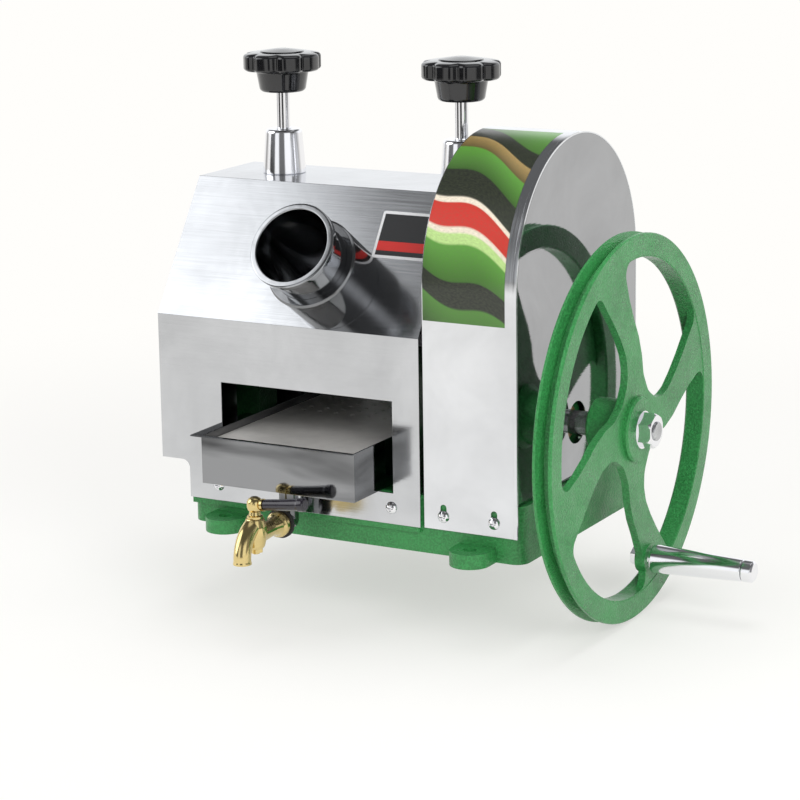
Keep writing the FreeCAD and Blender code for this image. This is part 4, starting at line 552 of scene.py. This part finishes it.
NODE_FINISHES = {
    "hammered_enamel": ("base_casting", "outer_bearing_pedestal", "hand_wheel"),
    "enamel_painted_in_shade": ("left_side_frame", "right_side_frame", "frame_caps"),
    "bronze": ("lower_roller_bushes", "top_roller_bushes", "crank_bushes"),
    "turned_steel": ("bearing_blocks", "turn_plate", "frame_foot_bolts", "cap_and_pedestal_bolts",
                     "crank_shaft", "crank_fittings", "thrust_pads", "drive_gear_fixing",
                     "top_gear_fittings", "feed_gear_fittings", "discharge_gear_fittings"),
    "roller_steel": ("top_roller", "feed_roller", "discharge_roller"),
    "oiled_gear": ("crank_pinion", "drive_gear", "top_roller_gear", "feed_roller_gear",
                   "discharge_roller_gear"),
    "inner_sheet": ("feed_guide", "bagasse_chute", "tray_rails"),
    "cover_sheet": ("main_cover", "left_end_plate", "gear_cover_back"),
    "arch_sheet_painted_bright": ("gear_cover_wrap",),
    "side_sheet_painted_dark": ("gear_cover_side",),
    "tray_sheet": ("juice_tray", "drain_pipe"),
    "strainer_sheet": ("strainer_plate",),
    "tube_steel_painted_dark": ("feed_tube",),
    "collar_steel_painted_dark": ("feed_collar",),
    "chrome": ("screw_sleeves", "cover_screws", "hub_nut", "handle_spindle", "handle_nut", "handle_cap",
               "handle_grip", "adjusting_screw_left", "adjusting_screw_right"),
    "cast_brass": ("tap_body", "tap_plug", "tap_plug_nut", "tap_lever"),
    "phenolic": ("star_knob_left", "star_knob_right"),
    "lever_grip": ("tap_lever_grip",),
    "rubber": ("tap_gasket",),
    "printed_film": ("gear_cover_film",),
}
FINISH_OF = {node: finish for finish, nodes in NODE_FINISHES.items() for node in nodes}


class PRESS_OT_node_finishes(bpy.types.Operator):
    """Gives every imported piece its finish"""
    bl_idname = "press.node_finishes"
    bl_label = "Finish packed pieces"

    def execute(self, context):
        made = finishes()
        for name, node in frame["nodes"].items():
            node.data.materials.clear()
            node.data.materials.append(made[FINISH_OF[name]])
        return {"FINISHED"}


# Pieces
def soften(context, nodes, size, segments=2, angle=32):
    """Stands a copy with rounded edges in the place of each node."""
    width = getattr(context.scene.press_sizes, size)
    for node in nodes:
        piece = eased(copied(node), width, segments, angle)
        keep(piece, node + "_eased", finishes()[FINISH_OF[node]], node)
    return {"FINISHED"}


class PRESS_OT_castings(bpy.types.Operator):
    """Rounds the edges of the cast base and of the outer bearing's pedestal"""
    bl_idname = "press.castings"
    bl_label = "Castings"

    def execute(self, context):
        return soften(context, ("base_casting", "outer_bearing_pedestal"), "cast_edge")


class PRESS_OT_sheet_metal(bpy.types.Operator):
    """Takes the sharpness off the covers' and the tray's folded sheet"""
    bl_idname = "press.sheet_metal"
    bl_label = "Sheet metal"

    def execute(self, context):
        sheets = ("main_cover", "left_end_plate", "gear_cover_wrap", "gear_cover_side", "juice_tray")
        return soften(context, sheets, "soft_edge")


class PRESS_OT_turned_pieces(bpy.types.Operator):
    """Breaks the edges of the turned and hexagonal pieces"""
    bl_idname = "press.turned_pieces"
    bl_label = "Turned pieces"

    def execute(self, context):
        pieces = ("hub_nut", "handle_nut", "handle_grip", "handle_cap", "cover_screws", "tap_plug_nut",
                  "tap_body", "tap_plug", "tap_lever_grip", "feed_tube", "feed_collar")
        return soften(context, pieces, "turned_edge", 2, 40)


class PRESS_OT_star_knobs(bpy.types.Operator):
    """Models one lobed knob and copies it to the other screw"""
    bl_idname = "press.star_knobs"
    bl_label = "Star knobs"

    def execute(self, context):
        sizes = context.scene.press_sizes
        low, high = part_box("star_knob_left")
        centre = middle("star_knob_left")
        centre.z = low[2]
        tall = high[2] - low[2]
        outer = (high[0] - low[0]) / 2
        foot = ((0, 0.0080), (0.0006, 0.0098), (0.0012, 0.0222), (0.0026, 0.0240), (0.0045, 0.0248))
        hub = ((0.0205, 0.0276), (0.0222, 0.0290), (0.0228, outer - 0.006), (0.0234, outer - 0.0024))
        rim = ((0.0246, outer - 0.0008), (0.0262, outer), (0.0380, outer), (0.0396, outer - 0.0006),
               (0.0410, outer - 0.0022), (0.0418, outer - 0.0060))
        crown = ((0.0424, 0.0310), (0.0426, 0.0240), (0.0438, 0.0228), (0.0450, 0.0150), (tall, 0.0070),
                 (tall, 0.0010))
        groove_start, groove_fade, sharpness = 0.031, 0.006, 4
        knob = turned(foot + hub + rim + crown, centre, steps=160)
        for vertex in knob.data.vertices:
            out = Vector((vertex.co.x - centre.x, vertex.co.y - centre.y))
            radius = out.length
            if radius > groove_start:
                groove = (0.5 - 0.5 * math.cos(math.atan2(out.y, out.x) * sizes.lobes)) ** sharpness
                drawn = sizes.lobe_depth * groove * min(1.0, (radius - groove_start) / groove_fade)
                out *= (radius - drawn) / radius
                vertex.co.x = centre.x + out.x
                vertex.co.y = centre.y + out.y
        other = knob.copy()
        other.data = knob.data.copy()
        context.collection.objects.link(other)
        other.location += middle("star_knob_right") - middle("star_knob_left")
        for piece, side in ((knob, "left"), (other, "right")):
            keep(piece, "star_knob_%s_lobed" % side, finishes()["phenolic"], "star_knob_" + side)
        return {"FINISHED"}


class PRESS_OT_screw_sleeves(bpy.types.Operator):
    """Turns the two tapered sleeves round the adjusting screws"""
    bl_idname = "press.screw_sleeves"
    bl_label = "Sleeves"

    def execute(self, context):
        low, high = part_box("screw_sleeves")
        tall = high[2] - low[2]
        wide = (high[1] - low[1]) / 2
        bore = 0.0076
        foot = ((0, bore), (0, wide - 0.0007), (0.0006, wide - 0.0001), (0.0016, wide))
        shoulder = ((tall - 0.0040, wide - 0.0033), (tall - 0.0018, wide - 0.0040),
                    (tall - 0.0005, wide - 0.0052), (tall, wide - 0.0070))
        mouth = ((tall - 0.0006, wide - 0.0140), (tall - 0.0016, bore), (0, bore))
        sleeves = []
        for side in ("left", "right"):
            centre = middle("adjusting_screw_" + side)
            centre.z = low[2]
            sleeves.append(turned(foot + shoulder + mouth, centre, steps=96, hollow=True))
        keep(joined(sleeves), "screw_sleeves_turned", finishes()["chrome"], "screw_sleeves")
        return {"FINISHED"}


class PRESS_OT_hand_wheel(bpy.types.Operator):
    """Rounds the cast hand wheel's grooved rim, hub and curved spokes"""
    bl_idname = "press.hand_wheel"
    bl_label = "Hand wheel"

    def execute(self, context):
        return soften(context, ("hand_wheel",), "wheel_edge", 3, 28)


class PRESS_OT_film(bpy.types.Operator):
    """Lays the printed film over the gear cover's front and arch"""
    bl_idname = "press.film"
    bl_label = "Printed film"

    def execute(self, context):
        low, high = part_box("gear_cover_film")
        centre_y = middle("gear_cover_wrap").y
        radius = centre_y - low[1]
        centre_z = high[2] - radius
        straight = centre_z - low[2]
        turn = math.acos(max(-1.0, (centre_y - high[1]) / radius))
        total = straight + radius * turn
        wide = high[0] - low[0]
        clear_selection()
        bpy.ops.mesh.primitive_grid_add(x_subdivisions=2, y_subdivisions=96, size=1, calc_uvs=True)
        piece = context.object
        layer = piece.data.uv_layers.active.data
        for loop in piece.data.loops:
            spot = piece.data.vertices[loop.vertex_index].co
            layer[loop.index].uv = (spot.x + 0.5, (spot.y + 0.5) * total / wide)
        for vertex in piece.data.vertices:
            run = (vertex.co.y + 0.5) * total
            angle = max(0.0, (run - straight) / radius)
            out = radius - HAIR
            vertex.co = (low[0] + (vertex.co.x + 0.5) * wide, centre_y - out * math.cos(angle),
                         low[2] + min(run, straight) + out * math.sin(angle))
        modify(piece, "SOLIDIFY", thickness=HAIR, offset=1.0)
        keep(piece, "gear_cover_film_print", finishes()["printed_film"], "gear_cover_film")
        return {"FINISHED"}


class PRESS_OT_plate(bpy.types.Operator):
    """Puts the small printed plate on the slanted panel beside the feed tube"""
    bl_idname = "press.plate"
    bl_label = "Small plate"

    def execute(self, context):
        sizes = context.scene.press_sizes
        low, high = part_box("main_cover")
        slope = self.slope()
        lean = math.atan2(slope.z, slope.y)
        bend = Vector((0, low[1], self.bend_height()))
        across = high[0] - sizes.plate_left - sizes.plate_width / 2
        spot = bend + slope * (sizes.plate_rise + sizes.plate_height / 2)
        clear_selection()
        bpy.ops.mesh.primitive_plane_add(size=1, calc_uvs=True, rotation=(lean, 0, 0),
                                         location=(across, spot.y, spot.z))
        piece = context.object
        piece.scale = (sizes.plate_width, sizes.plate_height, 1)
        settle(piece)
        bpy.ops.object.mode_set(mode="EDIT")
        bpy.ops.mesh.select_all(action="SELECT")
        bpy.ops.mesh.bevel(offset=sizes.plate_corner, segments=4, affect="VERTICES")
        bpy.ops.object.mode_set(mode="OBJECT")
        modify(piece, "SOLIDIFY", thickness=sizes.plate_thickness, offset=1.0)
        settle(piece)
        piece.name = "small_plate"
        piece.data.name = "small_plate"
        piece.data.materials.append(finishes()["banded_plate"])
        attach(piece, BODY_OF["main_cover"])
        return {"FINISHED"}

    def outline(self):
        """The places and heights of the cover's points, seen from the side."""
        spots = frame["nodes"]["main_cover"].data.vertices
        return [(spot.co.y, spot.co.z) for spot in spots]

    def bend_height(self):
        """Where the upright front turns into the slanted panel."""
        front = min(y for y, _ in self.outline())
        return max(z for y, z in self.outline() if y < front + HAIR)

    def slope(self):
        """The direction up the slanted panel."""
        top = max(z for _, z in self.outline())
        edge = min(y for y, z in self.outline() if z > top - HAIR)
        front = min(y for y, _ in self.outline())
        return Vector((0, edge - front, top - self.bend_height())).normalized()


# Studio
# Greys of the room's walls by bearing, which gloss shows above the horizon and on the far floor
WALLS = ((0.00, 0.30), (0.05, 0.95), (0.085, 0.95), (0.10, 0.05), (0.175, 0.05), (0.19, 0.95),
         (0.245, 0.95), (0.26, 0.05), (0.335, 0.05), (0.35, 1.0), (0.44, 1.0), (0.455, 0.10),
         (0.56, 0.20), (0.63, 1.0), (0.95, 1.0), (1.00, 0.30))
WALL_FADE = (0.34, 0.60)        # how far up a ray points where the walls start to fade and where they end
CEILING = 0.13                  # grey over the whole room
# Soft boxes: direction, how nearly a ray points there at the box's edge and inside it, strength
SOFT_BOXES = (((-0.80, -0.42, 0.42), 0.899, 0.922, 1.9),
              ((0.10, 0.25, 1.0), 0.90, 0.97, 0.8))
# Lamps: name, place, size in metres, watts
LAMPS = (("key", (2.2, -1.7, 1.5), 1.3, 42),
         ("fill", (-1.6, -2.0, 1.5), 1.4, 14),
         ("top", (0.0, 0.2, 2.4), 1.6, 24))
LAMP_AIM = (0, 0, 0.2)
FLOOR_WIDTH = 60
GLOW_RANGE = (0.45, 1.5)        # metres from the press between which the floor turns into the background
GLOW_NEAR = 0.55                # share of the background's glow on the floor next to the press
FAR_RANGE = (1.95, 3.0)         # metres from the press between which gloss starts to see the walls' greys
SENSOR = 36
SHIFT = (-0.0037, -0.0193)      # the picture's middle off the line of sight, in picture widths
CLIP_END = 60


class PRESS_OT_stage(bpy.types.Operator):
    """Sets the camera, the lamps, the pale floor and the background"""
    bl_idname = "press.stage"
    bl_label = "Stage"

    def execute(self, context):
        scene = context.scene
        stage = scene.press_stage
        scene.view_settings.view_transform = "Standard"
        self.camera(scene, stage)
        self.floor(stage)
        self.world(scene, stage)
        self.lamps(scene)
        return {"FINISHED"}

    def camera(self, scene, stage):
        turn, lift = stage.azimuth, stage.elevation
        back = Vector((math.sin(turn) * math.cos(lift), -math.cos(turn) * math.cos(lift), math.sin(lift)))
        right = Vector((math.cos(turn), math.sin(turn), 0))
        up = back.cross(right)
        side = right * math.cos(stage.roll) + up * math.sin(stage.roll)
        over = up * math.cos(stage.roll) - right * math.sin(stage.roll)
        data = bpy.data.cameras.new("camera")
        data.lens = stage.lens
        data.sensor_width = SENSOR
        data.shift_x, data.shift_y = SHIFT
        data.clip_end = CLIP_END
        camera = bpy.data.objects.new("camera", data)
        scene.collection.objects.link(camera)
        place = Matrix((side, over, back)).transposed().to_4x4()
        place.translation = Vector(stage.eye)
        camera.matrix_world = place
        scene.camera = camera

    def floor(self, stage):
        """A dull pale floor that keeps the shadow near the press and fades into the background."""
        clear_selection()
        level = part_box("hand_wheel")[0][2] - stage.floor_gap
        bpy.ops.mesh.primitive_plane_add(size=FLOOR_WIDTH, location=(0, 0, level))
        floor = bpy.context.object
        floor.name = "floor"
        tint = tuple(stage.floor_tint)
        finish = Finish("floor", tint, 0.0, 0.85)
        where = finish.place()
        finish.paint(finish.blend(finish.noise(where, 3, 2), tint, shade(tint, 0.985)))
        reach = finish.node("VectorMath", operation="LENGTH")
        finish.link(where, reach.inputs[0])
        away = reach.outputs["Value"]
        glow = finish.node("Emission")
        glow.inputs["Color"].default_value = (*stage.backdrop, 1)
        share = finish.sum("MULTIPLY", finish.span(away, *GLOW_RANGE, GLOW_NEAR, 1.0, True), finish.seen())
        x, y, _ = finish.split(where)
        far = finish.sum("MULTIPLY", finish.span(away, *FAR_RANGE, 0.0, 1.0, True),
                         finish.node("LightPath").outputs["Is Glossy Ray"])
        walls = finish.ramp(finish.bearing(x, y), WALLS)
        finish.link(finish.blend(far, (1.0, 1.0, 1.0), walls), glow.inputs["Strength"])
        output = finish.tree.nodes["Material Output"]
        finish.link(finish.mixed(share, finish.shader.outputs[0], glow.outputs[0]), output.inputs["Surface"])
        floor.data.materials.append(finish.material)

    def world(self, scene, stage):
        """The pale background for the camera and through glass, a room for gloss, and even light."""
        world = bpy.data.worlds.new("studio")
        scene.world = world
        world.use_nodes = True
        web = Web(world.node_tree)
        web.tree.nodes.clear()
        where = web.node("TexCoord").outputs["Generated"]
        x, y, z = web.split(where)
        walls = web.ramp(web.bearing(x, y), WALLS)
        strength = web.sum("MULTIPLY", walls, web.span(z, *WALL_FADE, 1.0, 0.0, True))
        strength = web.sum("ADD", strength, CEILING)
        for direction, edge, full, light in SOFT_BOXES:
            box = web.span(web.toward(where, direction), edge, full, 0.0, light, True)
            strength = web.sum("ADD", strength, box)
        backdrop = web.node("Background")
        backdrop.inputs["Color"].default_value = (*stage.backdrop, 1)
        soft = web.node("Background")
        soft.inputs["Color"].default_value = (0.98, 0.99, 1.0, 1)
        soft.inputs["Strength"].default_value = 0.55
        room = web.node("Background")
        room.inputs["Color"].default_value = (0.97, 0.985, 1.0, 1)
        web.link(strength, room.inputs["Strength"])
        path = web.node("LightPath").outputs
        lit = web.mixed(path["Is Glossy Ray"], soft.outputs[0], room.outputs[0])
        straight = web.sum("MAXIMUM", path["Is Camera Ray"], path["Is Transmission Ray"])
        output = web.node("OutputWorld")
        web.link(web.mixed(straight, lit, backdrop.outputs[0]), output.inputs["Surface"])

    def lamps(self, scene):
        """Large soft lamps; the soft boxes that show in the metal are the world's."""
        for name, place, size, watts in LAMPS:
            data = bpy.data.lights.new(name, "AREA")
            data.size = size
            data.energy = watts
            lamp = bpy.data.objects.new(name, data)
            lamp.location = place
            lamp.rotation_euler = (Vector(LAMP_AIM) - Vector(place)).to_track_quat("-Z", "Y").to_euler()
            lamp.visible_glossy = False
            scene.collection.objects.link(lamp)


OPERATORS = (PRESS_OT_stage, PRESS_OT_node_finishes, PRESS_OT_castings, PRESS_OT_sheet_metal,
             PRESS_OT_turned_pieces, PRESS_OT_star_knobs, PRESS_OT_screw_sleeves, PRESS_OT_hand_wheel,
             PRESS_OT_film, PRESS_OT_plate)


class PRESS_PT_panel(bpy.types.Panel):
    bl_idname = "PRESS_PT_panel"
    bl_label = "Cane press"
    bl_space_type = "VIEW_3D"
    bl_region_type = "UI"
    bl_category = "Cane press"

    def draw(self, context):
        for operator in OPERATORS:
            self.layout.operator(operator.bl_idname)
        for group in (context.scene.press_sizes, context.scene.press_colours, context.scene.press_stage):
            box = self.layout.box()
            for name in group.bl_rna.properties.keys():
                if name not in ("rna_type", "name"):
                    box.prop(group, name)


CLASSES = (PressSizes, PressColours, PressStage) + OPERATORS + (PRESS_PT_panel,)


def register():
    for item in CLASSES:
        bpy.utils.register_class(item)
    bpy.types.Scene.press_sizes = PointerProperty(type=PressSizes)
    bpy.types.Scene.press_colours = PointerProperty(type=PressColours)
    bpy.types.Scene.press_stage = PointerProperty(type=PressStage)


def unregister():
    del bpy.types.Scene.press_stage
    del bpy.types.Scene.press_colours
    del bpy.types.Scene.press_sizes
    for item in reversed(CLASSES):
        bpy.utils.unregister_class(item)


def main():
    register()
    for operator in OPERATORS:
        family, name = operator.bl_idname.split(".")
        getattr(getattr(bpy.ops, family), name)()


if __name__ == "__main__":
    main()
